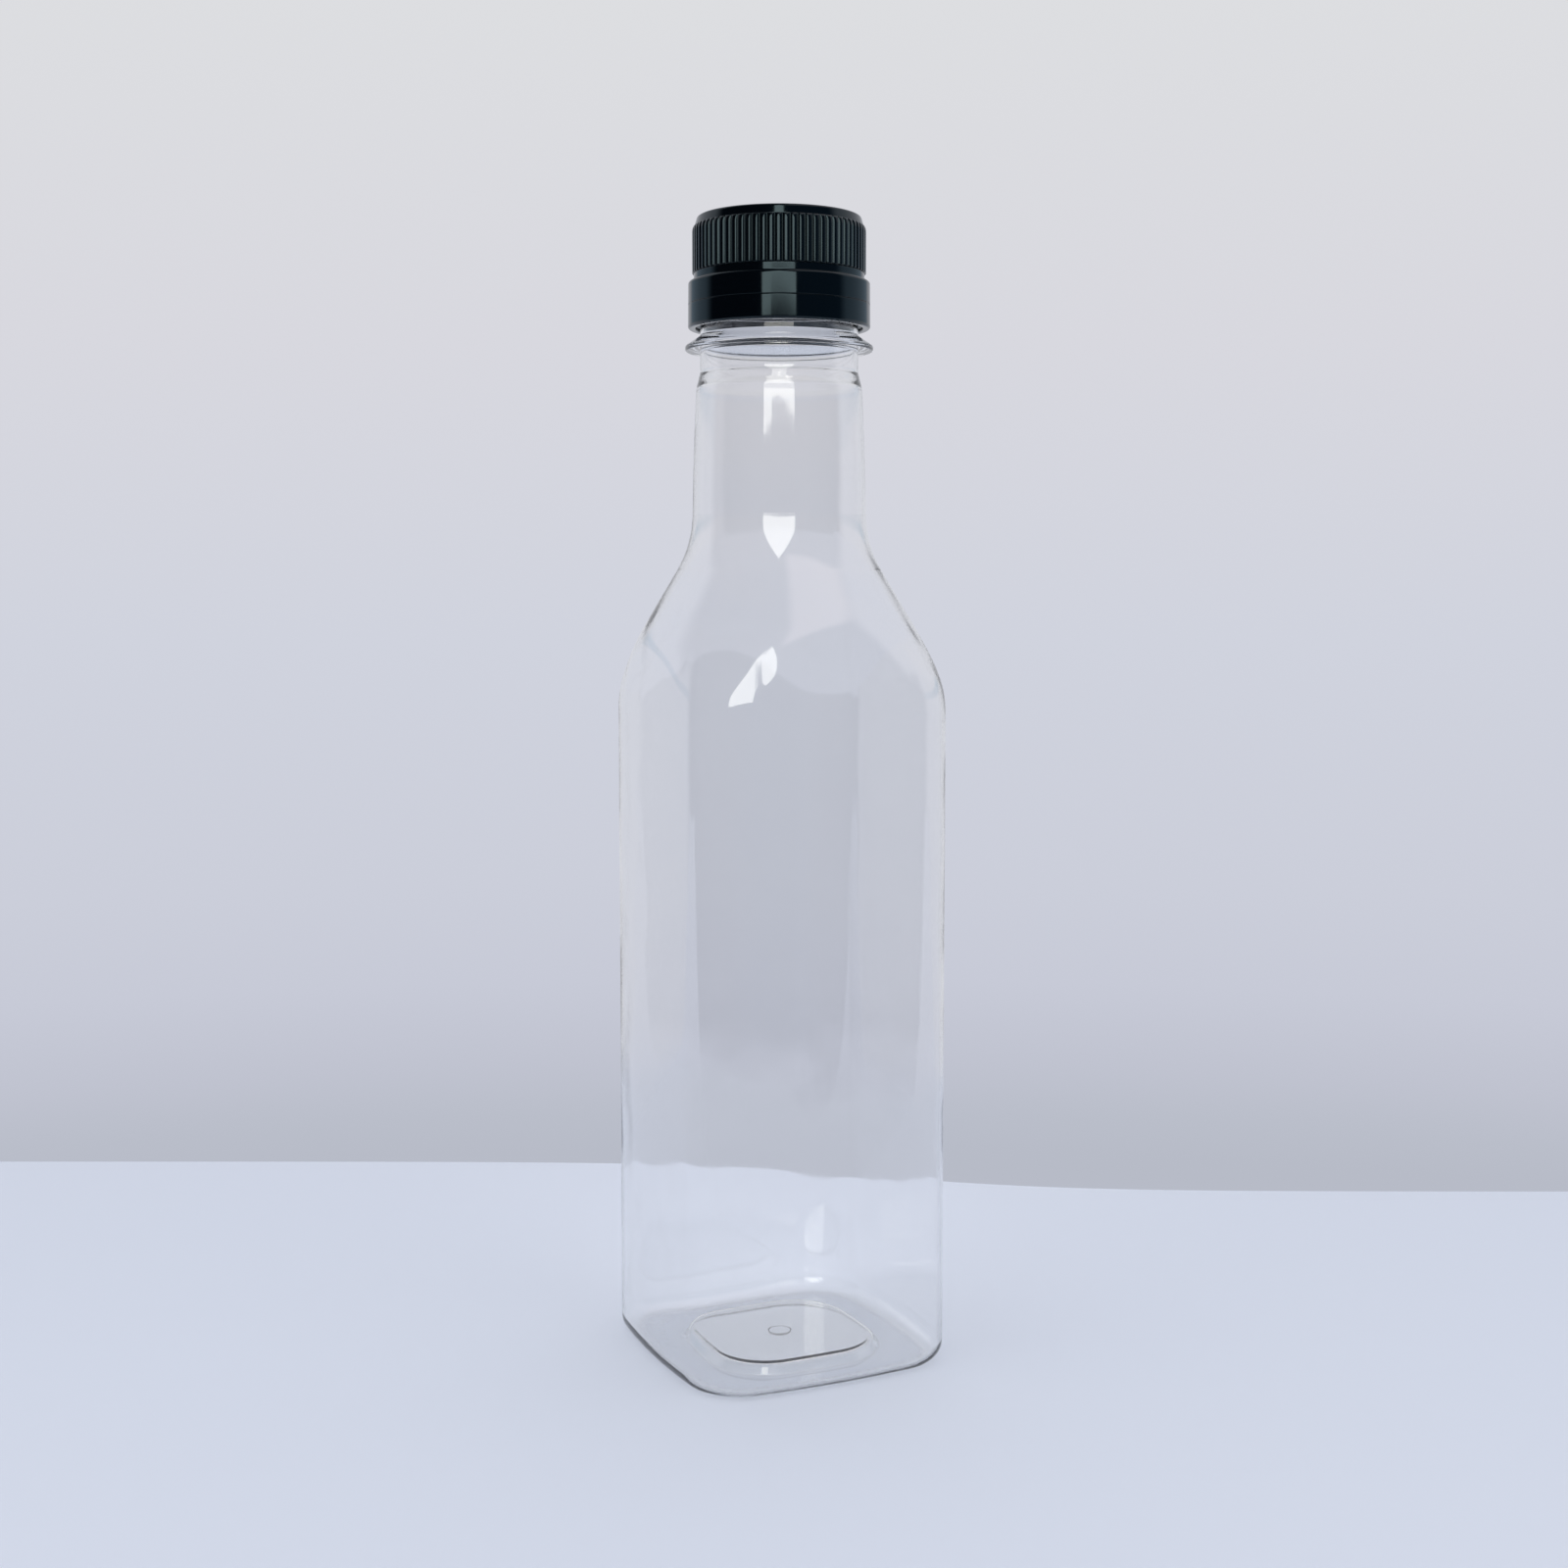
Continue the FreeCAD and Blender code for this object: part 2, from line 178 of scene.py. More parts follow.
class Finishes(bpy.types.PropertyGroup):
    """Colours and finishes of the plastics"""
    pet_colour: colour("PET", "FFFFFF", "Tint of the clear plastic")
    pet_depth_colour: colour("PET depth", "9CA3A8", "What is left of light after a long way in it")
    pet_density: amount("PET density", 12, "How fast the clear plastic takes up light, per metre")
    pet_ior: amount("PET index", 1.575, "How strongly the clear plastic bends light")
    pet_roughness: amount("PET roughness", 0.045, "Blown plastic, a little less smooth than glass")
    cap_colour: colour("Cap", "020407", "Black masterbatch, very slightly blue")
    cap_ior: amount("Cap index", 1.5, "Polypropylene")
    cap_roughness: amount("Cap roughness", 0.08, "Satin gloss of the mould")
    cap_sheen: colour("Cap gloss", "C4E2EE", "Tint of the cap's gloss")


class StageSizes(bpy.types.PropertyGroup):
    """Camera, lights, floor and backdrop"""
    camera_azimuth: bpy.props.FloatProperty(
        name="Camera azimuth", description="Turn of the camera round the bottle",
        default=math.radians(-24.7), subtype="ANGLE", unit="ROTATION")
    camera_distance: length("Camera distance", 366.6, "From the bottle's axis")
    camera_height: length("Camera height", 136.9, "Above the floor")
    camera_pitch: bpy.props.FloatProperty(
        name="Camera pitch", description="How far the camera looks down",
        default=math.radians(4.39), subtype="ANGLE", unit="ROTATION")
    camera_side: length("Camera aim", 0.85, "How far right of the axis the camera aims")
    camera_lens: amount("Lens", 47.42, "Focal length in millimetres on a 36 mm sensor")
    camera_shift: amount("Camera shift", -0.025, "Lens shift, as a share of the frame")
    paper_back: length("Paper back", 105, "From the axis to the middle of the paper's back edge")
    paper_curl: length("Paper curl", 12.2, "How far the back edge swings nearer from left to right")
    paper_curl_width: length("Paper curl width", 45, "How gently it swings")
    paper_curl_side: length("Paper curl side", 21.6, "How far right of the axis it swings")
    paper_front: length("Paper front", 98, "From the axis to the paper's front edge")
    paper_colour: colour("Paper", "E0E6F5", "Pale cool paper")
    window_distance: length("Window distance", 1200, "From the bottle, behind the camera")
    window_width: length("Window width", 920, "Width of the soft window")
    window_height: length("Window height", 1196, "Height of the soft window")
    window_lift: length("Window lift", 219, "From the camera's height to the window's lower edge")
    window_sill: length("Window sill", 14, "Dim stretch above the window's lower edge")
    window_dim: amount("Window dimness", 0.1, "Brightness of that stretch, as a share")
    window_straight: length("Window straight", 280, "Height up to which its curtains hang straight")
    window_power: bpy.props.FloatProperty(
        name="Window power", description="Power of the window light", default=11.8, unit="POWER")


SETTINGS = {
    "oil_bottle_sizes": BottleSizes,
    "oil_bottle_thread": ThreadSizes,
    "oil_bottle_cap": CapSizes,
    "oil_bottle_finishes": Finishes,
    "oil_bottle_stage": StageSizes,
}


# ---- nodes ----------------------------------------------------------------------------------

def add(tree, kind, settings=None, inputs=None):
    """A node with its own settings, and its sockets set to values or linked to other outputs."""
    node = tree.nodes.new(kind)
    for name, value in (settings or {}).items():
        setattr(node, name, value)
    for key, value in (inputs or {}).items():
        if isinstance(value, bpy.types.NodeSocket):
            tree.links.new(value, node.inputs[key])
        else:
            node.inputs[key].default_value = value
    return node


SIGNS = {
    "+": "ADD", "-": "SUBTRACT", "*": "MULTIPLY", "/": "DIVIDE", "<": "LESS_THAN", ">": "GREATER_THAN"}


def work_out(tree, known, steps):
    """The named values of a calculation, as sockets of Math nodes.

    Each line is one step, NAME = TERM SIGN TERM or NAME = OPERATION TERM and so on, where a term
    is a number, a value that is known beforehand or the name of an earlier step.
    """
    values = {"full_turn": 2 * math.pi, "eighth": EIGHTH, **known}
    for step in filter(str.strip, steps.splitlines()):
        name, _, *words = step.split()
        if words[1] in SIGNS:
            operation, terms = SIGNS[words[1]], words[::2]
        else:
            operation, terms = words[0], words[1:]
        inputs = {i: values[term] if term in values else float(term) for i, term in enumerate(terms)}
        values[name] = add(tree, "ShaderNodeMath", {"operation": operation}, inputs).outputs[0]
    return values


def geometry_tree(name, sockets):
    """An empty geometry tree, its group input node, and its input sockets as (name, kind, default)."""
    tree = bpy.data.node_groups.new(name, "GeometryNodeTree")
    tree.interface.new_socket("Geometry", in_out="INPUT", socket_type="NodeSocketGeometry")
    for label, kind, default in sockets:
        socket = tree.interface.new_socket(label, in_out="INPUT", socket_type=kind)
        socket.default_value = default
    tree.interface.new_socket("Material", in_out="INPUT", socket_type="NodeSocketMaterial")
    tree.interface.new_socket("Geometry", in_out="OUTPUT", socket_type="NodeSocketGeometry")
    return tree, add(tree, "NodeGroupInput")


def close_tree(tree, given, geometry):
    """Ends a tree the same way each time: smooth, real geometry with the piece's material."""
    smooth = add(tree, "GeometryNodeSetShadeSmooth", inputs={"Geometry": geometry})
    real = add(tree, "GeometryNodeRealizeInstances", inputs={"Geometry": smooth.outputs[0]})
    painted = add(tree, "GeometryNodeSetMaterial", inputs={
        "Geometry": real.outputs[0], "Material": given.outputs["Material"]})
    add(tree, "NodeGroupOutput", inputs={"Geometry": painted.outputs[0]})


def grown(name, tree, values, material, base=None):
    """A plain mesh object that holds what a geometry tree makes from these named input values."""
    start = base or bpy.data.meshes.new(name + "_start")
    maker = bpy.data.objects.new(name + "_maker", start)
    bpy.context.scene.collection.objects.link(maker)
    modifier = maker.modifiers.new(name, "NODES")
    modifier.node_group = tree
    for socket in tree.interface.items_tree:
        if socket.in_out == "INPUT" and socket.name in values:
            modifier[socket.identifier] = values[socket.name]
        if socket.in_out == "INPUT" and socket.name == "Material":
            modifier[socket.identifier] = material
    evaluated = maker.evaluated_get(bpy.context.evaluated_depsgraph_get())
    mesh = bpy.data.meshes.new_from_object(evaluated)
    maker.modifiers.remove(modifier)
    bpy.data.objects.remove(maker)
    if not mesh.polygons:
        raise RuntimeError(name + " came out empty")
    mesh.name = name
    piece = bpy.data.objects.new(name, mesh)
    bpy.context.scene.collection.objects.link(piece)
    return piece


def settle(piece, node):
    """The piece stands for a node of the solid model, which is hidden, and hangs from the body."""
    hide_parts(node)
    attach(piece, BODY)


# ---- materials ------------------------------------------------------------------------------

def new_material(name):
    """A material with its nodes emptied, and its output node."""
    material = bpy.data.materials.get(name)
    if material:
        return material, None
    material = bpy.data.materials.new(name)
    material.use_nodes = True
    material.node_tree.nodes.clear()
    return material, add(material.node_tree, "ShaderNodeOutputMaterial")


def rolling(tree, place, width, noise, strength, depth, under=None):
    """The normal of a surface that rolls over this width and depth, on top of any other rolling."""
    pattern = add(tree, "ShaderNodeTexNoise", inputs={"Vector": place, "Scale": 1 / width, **noise})
    bump = add(tree, "ShaderNodeBump", inputs={
        "Height": pattern.outputs["Fac"], "Strength": strength, "Distance": depth})
    if under:
        tree.links.new(under, bump.inputs["Normal"])
    return bump.outputs[0]


def patchy(tree, place, width, noise, seen, roughness):
    """A roughness that changes in patches of this width, between two values."""
    pattern = add(tree, "ShaderNodeTexNoise", inputs={"Vector": place, "Scale": 1 / width, **noise})
    return add(tree, "ShaderNodeMapRange", inputs={
        "Value": pattern.outputs["Fac"], "From Min": seen[0], "From Max": seen[1],
        "To Min": roughness[0], "To Max": roughness[1]}).outputs[0]


def stretch_blown_pet(finishes):
    """Clear PET, blown into a polished mould: glossy and colourless, its surface faintly rolling."""
    material, output = new_material("clear_pet_stretch_blown")
    if output is None:
        return material
    tree = material.node_tree
    place = add(tree, "ShaderNodeTexCoord").outputs["Object"]
    # The mould is polished, so only a slow swell of about 9 mm is left in the wall.
    swell = rolling(tree, place, 9 * MM, {"Detail": 2.0, "Roughness": 0.4}, 0.2, 0.1 * MM)
    # Stretching leaves very faint upright streaks, 2 mm wide and some 40 mm long.
    drawn = add(tree, "ShaderNodeMapping", {"vector_type": "POINT"}, {
        "Vector": place, "Scale": (1 / (2 * MM), 1 / (2 * MM), 1 / (40 * MM))}).outputs[0]
    streaks = rolling(tree, drawn, 1, {"Detail": 2.0, "Roughness": 0.5}, 0.1, 0.02 * MM, swell)
    # Handling leaves faint haze in patches about 6 mm wide.
    haze = patchy(tree, place, 6 * MM, {"Detail": 3.0, "Roughness": 0.6}, (0.45, 0.8), (
        finishes.pet_roughness * 0.6, finishes.pet_roughness * 1.5))
    shader = add(tree, "ShaderNodeBsdfPrincipled", inputs={
        "Base Color": finishes.pet_colour, "IOR": finishes.pet_ior,
        "Transmission Weight": 1.0, "Roughness": haze, "Normal": streaks})
    # A thin clear wall hardly shades what it stands on, so lamps shine straight through it.
    through = add(tree, "ShaderNodeBsdfTransparent", inputs={"Color": (0.97, 0.97, 0.975, 1)})
    rays = add(tree, "ShaderNodeLightPath")
    either = add(tree, "ShaderNodeMixShader", inputs={
        0: rays.outputs["Is Shadow Ray"], 1: shader.outputs[0], 2: through.outputs[0]})
    tree.links.new(either.outputs[0], output.inputs["Surface"])
    # Seen edge on, through several millimetres of plastic, the wall looks grey.
    grey = add(tree, "ShaderNodeVolumeAbsorption", inputs={
        "Color": finishes.pet_depth_colour, "Density": finishes.pet_density})
    tree.links.new(grey.outputs[0], output.inputs["Volume"])
    return material


def moulded_black_polypropylene(finishes):
    """Black polypropylene, injection moulded: satin gloss that a window blurs on, dulled by handling."""
    material, output = new_material("black_polypropylene_moulded")
    if output is None:
        return material
    tree = material.node_tree
    place = add(tree, "ShaderNodeTexCoord").outputs["Object"]
    # Spark-eroded mould texture, drawn at 0.25 mm, coarser than real so that it shows.
    grain = rolling(tree, place, 0.25 * MM, {"Detail": 3.0, "Roughness": 0.6}, 0.02, 0.02 * MM)
    # Handling polishes it and dulls it in patches about 4 mm wide.
    wear = patchy(tree, place, 4 * MM, {"Detail": 4.0, "Roughness": 0.6}, (0.3, 0.7), (
        finishes.cap_roughness * 0.85, finishes.cap_roughness * 1.2))
    shader = add(tree, "ShaderNodeBsdfPrincipled", inputs={
        "Base Color": finishes.cap_colour, "IOR": finishes.cap_ior,
        "Specular Tint": finishes.cap_sheen, "Roughness": wear, "Normal": grain})
    tree.links.new(shader.outputs[0], output.inputs["Surface"])
    return material


def matt_paper(stage):
    """Matt coated paper: even, pale and cool, with a trace of fibre."""
    material, output = new_material("paper_matt")
    if output is None:
        return material
    tree = material.node_tree
    place = add(tree, "ShaderNodeTexCoord").outputs["Object"]
    # Paper fibres, 0.8 mm apart.
    fibre = rolling(tree, place, 0.8 * MM, {"Detail": 3.0, "Roughness": 0.7}, 0.15, 0.03 * MM)
    shader = add(tree, "ShaderNodeBsdfPrincipled", inputs={
        "Base Color": stage.paper_colour, "Roughness": 0.85, "Specular IOR Level": 0.15,
        "Normal": fibre})
    tree.links.new(shader.outputs[0], output.inputs["Surface"])
    return material


# ---- sections -------------------------------------------------------------------------------

def rounded_path(corners, spacing, turn_step=math.radians(9), hold=0.08 * MM):
    """Points (across, height) along a line through corners given as (across, height, rounding).

    A straight stretch gets a point close to each end, which holds the shading of the bend there.
    """
    points = [Vector(corner[:2]) for corner in corners]
    path = [points[0]]
    for i in range(1, len(points)):
        here = points[i]
        bend = [here]
        if i < len(points) - 1 and corners[i][2] > 0:
            bend = rounded_corner(points[i - 1], here, points[i + 1], corners[i][2], turn_step)
        start = path[-1]
        straight = (bend[0] - start).length
        pieces = max(1, math.ceil(straight / spacing))
        shares = [n / pieces for n in range(1, pieces)]
        if straight > 4 * hold:
            shares = [hold / straight, *shares, 1 - hold / straight]
        path += [start.lerp(bend[0], share) for share in shares]
        path += bend
    return path


def rounded_corner(before, here, after, rounding, turn_step):
    """Points on the arc that rounds one corner of a path, its two ends included."""
    back, onward = (before - here).normalized(), (after - here).normalized()
    half = back.angle(onward) / 2
    middle = here + (back + onward).normalized() * (rounding / math.sin(half))
    sweep = math.pi - 2 * half
    steps = max(2, math.ceil(sweep / turn_step))
    start = here + back * (rounding / math.tan(half)) - middle
    side = 1 if back.x * onward.y - back.y * onward.x > 0 else -1
    points = []
    for n in range(steps + 1):
        turn = -side * sweep * n / steps
        sine, cosine = math.sin(turn), math.cos(turn)
        points.append(middle + Vector((
            start.x * cosine - start.y * sine, start.x * sine + start.y * cosine)))
    return points


def square_limit(half_width, crown, corner):
    """What a ring needs to know of the crowned square that limits it."""
    back = crown - half_width
    turn = math.acos(back / (crown - corner) / math.sqrt(2)) - EIGHTH
    return {
        "face_back": back,
        "face_radius": crown,
        "corner_back": (crown - corner) * math.sin(turn) * math.sqrt(2),
        "corner_radius": corner,
        "corner_from": math.atan2(crown * math.sin(turn), crown * math.cos(turn) - back),
    }


ROUND_ONLY = {
    "face_back": 0.0, "face_radius": FAR, "corner_back": 0.0, "corner_radius": FAR,
    "corner_from": math.pi}


def ring(radius, height, limit, blend=0.0, wave=0.0, rib=0.0):
    """One turn of a skin: its radius where nothing limits it, its height, and what shapes it."""
    return {
        "round": radius, "height": height, "blend": blend, "wave": wave, "rib": rib, **limit}


def cone_and_neck(sizes, wall, neck_wall, neck_top_round):
    """Corners of the shoulder's cone and the neck, drawn in by the two walls."""
    slope = math.tan(sizes.shoulder_angle)
    collar_base = sizes.shoulder_apex + sizes.neck_length
    neck_top = collar_base - sizes.neck_top_drop
    neck = sizes.neck_base - neck_wall
    apex = sizes.shoulder_apex - (wall / math.cos(sizes.shoulder_angle) - neck_wall) / slope
    past_corners = sizes.body_width * 0.7
    middle = (sizes.neck_base + sizes.neck_top) / 2 + sizes.neck_swell - neck_wall
    swell_round = 250 * MM
    return [
        (past_corners, apex - (past_corners - neck) / slope, 0),
        (neck, apex, sizes.neck_blend + wall),
        (middle, (sizes.shoulder_apex + neck_top) / 2, swell_round),
        (sizes.neck_top - neck_wall, neck_top, neck_top_round),
    ]


def foot_corners(sizes, grown_by, wall):
    """Corners of the foot in a section through the middle of a face, from the panel outwards."""
    slope = sizes.panel_draft / sizes.panel_rise
    low = sizes.panel_width / 2 + grown_by
    rise = sizes.panel_rise + grown_by
    side = sizes.body_width / 2 - wall
    return [
        (low - slope * rise, rise, sizes.panel_round + grown_by),
        (low - slope * grown_by, grown_by, sizes.panel_round - grown_by),
        (side, grown_by, sizes.heel - wall),
        (side, 2 * sizes.heel, 0),
    ]


def corner_at(sizes, half_width):
    """The corner radius of the square whose face lies half_width from the axis."""
    panel_half, body_half = sizes.panel_width / 2, sizes.body_width / 2
    panel_edge, heel_edge = panel_half + sizes.panel_round, body_half - sizes.heel
    on_panel = sizes.panel_corner + min(half_width, panel_edge) - panel_half
    on_body = sizes.body_corner + max(half_width, heel_edge) - body_half
    share = min(max((half_width - panel_edge) / (heel_edge - panel_edge), 0), 1)
    return on_panel + (on_body - on_panel) * share


def skin(sizes, foot_start, grown_by, wall, above, unevenness):
    """The rings of one side of the bottle's wall, from the middle of the foot to the rim's top."""
    body_half = sizes.body_width / 2 - wall
    foot = foot_corners(sizes, grown_by, wall)
    top_half = foot[0][0]
    rings = []
    for across, height in rounded_path(foot_start + foot, FOOT_SPACING):
        if across < top_half - 2 * sizes.panel_round:
            panel_top = square_limit(top_half, sizes.face_crown, corner_at(sizes, top_half))
            rings.append(ring(across, height, panel_top))
        else:
            crown = sizes.face_crown + across - sizes.body_width / 2
            rings.append(ring(FAR, height, square_limit(across, crown, corner_at(sizes, across))))
    limit = square_limit(body_half, sizes.face_crown - wall, sizes.body_corner - wall)
    blend = sizes.shoulder_blend - wall
    shape = rounded_path(above, NECK_SPACING)
    start, end = 2 * sizes.heel, shape[0].y
    steps = math.ceil((end - start) / BODY_SPACING)
    for n in range(1, steps):
        rings.append(ring(FAR, start + (end - start) * n / steps, limit, blend))
    for across, height in shape:
        rings.append(ring(across, height, limit, blend))
    # The waviness fades out over the heel and in the middle of the neck.
    wave_base, wave_top = 4 * sizes.heel, sizes.shoulder_apex + sizes.neck_length / 2
    fading = 3 * sizes.heel
    for each in rings:
        rise = (each["height"] - wave_base) / fading
        fall = (wave_top - each["height"]) / fading
        each["wave"] = min(max(min(rise, fall), 0), 1) * unevenness
    return rings


def bottle_section(sizes):
    """All rings of the blown bottle: up its outside, over the rim and down its inside."""
    collar_radius = sizes.finish_radius + sizes.collar_stand
    ring_radius = sizes.finish_radius + sizes.ring_stand
    bead_radius = sizes.finish_radius + sizes.bead_stand
    bore = sizes.finish_radius - sizes.finish_wall
    collar_base = sizes.shoulder_apex + sizes.neck_length
    ring_base = collar_base + sizes.collar_length
    ring_top = ring_base + sizes.ring_slope
    bead_base = ring_base + sizes.bead_lift
    bead_top = bead_base + sizes.bead_height
    rim = ring_base + sizes.finish_height
    rim_middle = (sizes.finish_radius + bore) / 2
    collar_lean = 0.1 * MM
    sharp, soft = 0.15 * MM, 0.3 * MM
    rim_round, ring_round, bead_round, inside_round = 0.4 * MM, 0.38 * MM, 0.25 * MM, 1 * MM
    collar_round, collar_round_inside = 3 * MM, 1.5 * MM
    neck_top_round, neck_top_round_inside = 9 * MM, 2 * MM
    outside = cone_and_neck(sizes, 0, 0, neck_top_round) + [
        (collar_radius, collar_base, collar_round),
        (collar_radius, ring_base, soft),
        (ring_radius, ring_base, ring_round),
        (ring_radius, ring_base + sizes.ring_rim, ring_round),
        (collar_radius, ring_top, soft),
        (collar_radius - collar_lean, bead_base, sharp),
        (bead_radius, bead_base, sharp),
        (bead_radius, bead_base + sizes.bead_land, bead_round),
        (sizes.finish_radius, bead_top, soft),
        (sizes.finish_radius, rim, rim_round),
        (rim_middle, rim, 0),
    ]
    # Inside, the collar stays wide to over the carry ring, and narrows to the bore under the bead.
    collar_inside = collar_radius - sizes.collar_wall
    collar_inside_top, bore_base = ring_top + 2 * MM, bead_top - 0.6 * MM
    inside = cone_and_neck(sizes, sizes.body_wall, sizes.neck_wall, neck_top_round_inside) + [
        (collar_inside, collar_base, collar_round_inside),
        (collar_inside, collar_inside_top, inside_round),
        (bore, bore_base, inside_round),
        (bore, rim, rim_round),
        (rim_middle, rim, 0),
    ]
    gate_base = sizes.panel_rise - sizes.gate_drop
    gate = [
        (0, gate_base, 0),
        (sizes.gate_radius, gate_base, sharp),
        (sizes.gate_radius, sizes.panel_rise, sharp),
    ]
    middle = [(0, sizes.panel_rise + sizes.foot_wall, 0)]
    # The mould evens the outside, and most of the waviness is left inside.
    outer = skin(sizes, gate, 0, 0, outside, 0.25)
    inner = skin(sizes, middle, sizes.foot_wall, sizes.body_wall, inside, 1)
    return outer + inner[-2::-1]


def cap_heights(bottle, cap):
    """Heights of the cap's parts, which hang from the bottle's rim and stand over its ring."""
    ring_base = bottle.shoulder_apex + bottle.neck_length + bottle.collar_length
    rim = ring_base + bottle.finish_height
    top = rim + cap.top_wall
    rib_top = top - cap.rib_top_drop
    rib_base = rib_top - cap.rib_length
    skirt_top = rib_base - cap.cuff_length
    slit_top = skirt_top - cap.skirt_length
    slit_middle = slit_top - cap.slit / 2
    return {
        "rim": rim, "top": top, "rib_top": rib_top, "rib_base": rib_base,
        "skirt_top": skirt_top, "slit_top": slit_top, "slit_base": slit_top - cap.slit,
        "mouth_top": slit_middle + cap.slit_mouth / 2,
        "mouth_base": slit_middle - cap.slit_mouth / 2,
        "band_base": ring_base + bottle.ring_slope + cap.band_gap,
        "bead_base": ring_base + bottle.bead_lift,
    }


def cap_radii(bottle, thread, cap):
    """Radii of the cap's parts, which clear the thread, the bead, the bore and the collar."""
    bore = bottle.finish_radius + thread.depth + thread.clearance
    band_bore = bottle.finish_radius + bottle.bead_stand + cap.bead_clearance
    return {
        "bore": bore, "root": bore + cap.wall, "band_bore": band_bore,
        "band": band_bore + cap.skirt_wall,
        "plug": bottle.finish_radius - bottle.finish_wall - cap.plug_clearance,
        "hook": bottle.finish_radius + bottle.collar_stand + cap.hook_clearance,
    }


def quarter(across, height, radius, start, steps=4):
    """Corners on a quarter circle round a middle, anticlockwise from an angle in degrees."""
    turns = [math.radians(start + 90 * n / steps) for n in range(steps + 1)]
    return [(across + radius * math.cos(turn), height + radius * math.sin(turn), 0) for turn in turns]


def turned_rings(corners):
    """The rings of a piece of the cap, which is round all the way."""
    path = rounded_path(corners, CAP_SPACING, math.radians(18))
    return [ring(across, height, ROUND_ONLY) for across, height in path]


def shell_section(bottle, thread, cap):
    """The cap without its band: up from the sealing plug's middle, round, and over the top."""
    z, r = cap_heights(bottle, cap), cap_radii(bottle, thread, cap)
    cuff = r["root"] + cap.cuff_stand
    wide_to = z["slit_top"] + cap.bead_clearance
    plug_inside = r["plug"] - cap.plug_wall
    plug_foot = z["rim"] - cap.plug_length
    foot_edge = r["band"] - cap.draft * (z["mouth_top"] - z["band_base"])
    edge = r["band"] - cap.draft * (z["skirt_top"] - z["band_base"])
    fine = 0.1 * MM
    lap_foot = z["slit_base"] + fine / 4
    corners = [
        (0, z["rim"], 0),
        (plug_inside, z["rim"], 2 * fine),
        (plug_inside, plug_foot, 3 * fine),
        (r["plug"], plug_foot, 3 * fine),
        (r["plug"], z["rim"], fine),
        (r["bore"], z["rim"], fine),
        (r["bore"], wide_to + r["band_bore"] - r["bore"], 2 * fine),
        (r["band_bore"], wide_to, fine),
        (r["band_bore"], lap_foot, 0),
        (r["band_bore"] + cap.slit_lap, lap_foot, 0),
        (r["band_bore"] + cap.slit_lap, z["slit_top"], 0),
        (foot_edge - 4 * fine, z["slit_top"], fine),
        (foot_edge - fine / 5, z["mouth_top"], 0),
        (foot_edge, z["mouth_top"] + fine / 5, 0),
        *quarter(edge - cap.skirt_edge, z["skirt_top"] - cap.skirt_edge, cap.skirt_edge, 0),
        (cuff, z["skirt_top"], 2 * fine),
        (cuff, z["rib_base"], fine),
        (r["root"], z["rib_base"], fine / 2),
        (r["root"], z["rib_top"], 3 * fine),
        (r["root"] - cap.crown_inset, z["top"], cap.crown_round),
        (0, z["top"], 0),
    ]
    return turned_rings(corners)


def band_section(bottle, thread, cap):
    """The tamper-evident band, with the hook that holds it under the finish's bead."""
    z, r = cap_heights(bottle, cap), cap_radii(bottle, thread, cap)
    hook_top = z["bead_base"] - cap.bead_clearance
    edge = r["band"] - cap.draft * (z["mouth_base"] - z["band_base"])
    fine = 0.1 * MM
    corners = [
        (r["band_bore"], z["slit_base"], 0),
        (r["band_bore"], hook_top, fine),
        (r["hook"], hook_top, fine),
        (r["hook"], hook_top - cap.hook_height / 3, fine),
        (r["band_bore"], hook_top - cap.hook_height, 2 * fine),
        (r["band_bore"], z["band_base"], 2 * fine),
        *quarter(r["band"] - cap.band_edge, z["band_base"] + cap.band_edge, cap.band_edge, -90),
        (edge, z["mouth_base"] - fine / 5, 0),
        (edge - fine / 5, z["mouth_base"], 0),
        (edge - 4 * fine, z["slit_base"], fine),
        (r["band_bore"], z["slit_base"], 0),
    ]
    return turned_rings(corners)


def rib_section(bottle, thread, cap):
    """A closed loop round the grip: up the ribbed outside, rounded in at the top, and back inside."""
    z, r = cap_heights(bottle, cap), cap_radii(bottle, thread, cap)
    hidden = r["root"] - cap.rib_depth
    rings = [ring(hidden, z["rib_base"], ROUND_ONLY)]
    # The ribs' feet are hardly rounded, and their tops run in over a quarter of an arc.
    for height, rib in ((0, 0.9), (0.06 * MM, 1), (0.2 * MM, 1)):
        rings.append(ring(r["root"], z["rib_base"] + height, ROUND_ONLY, rib=rib))
    steps = 8
    for n in range(steps + 1):
        turn = math.pi / 2 * n / steps
        height = z["rib_top"] - cap.rib_taper * (1 - math.sin(turn))
        rings.append(ring(r["root"], height, ROUND_ONLY, rib=math.cos(turn)))
    rings.append(ring(hidden, z["rib_top"], ROUND_ONLY))
    return rings + rings[:1]


# ---- geometry trees -------------------------------------------------------------------------

RING_VALUES = (
    "round", "height", "blend", "wave", "rib", "face_back", "face_radius", "corner_back",
    "corner_radius", "corner_from")

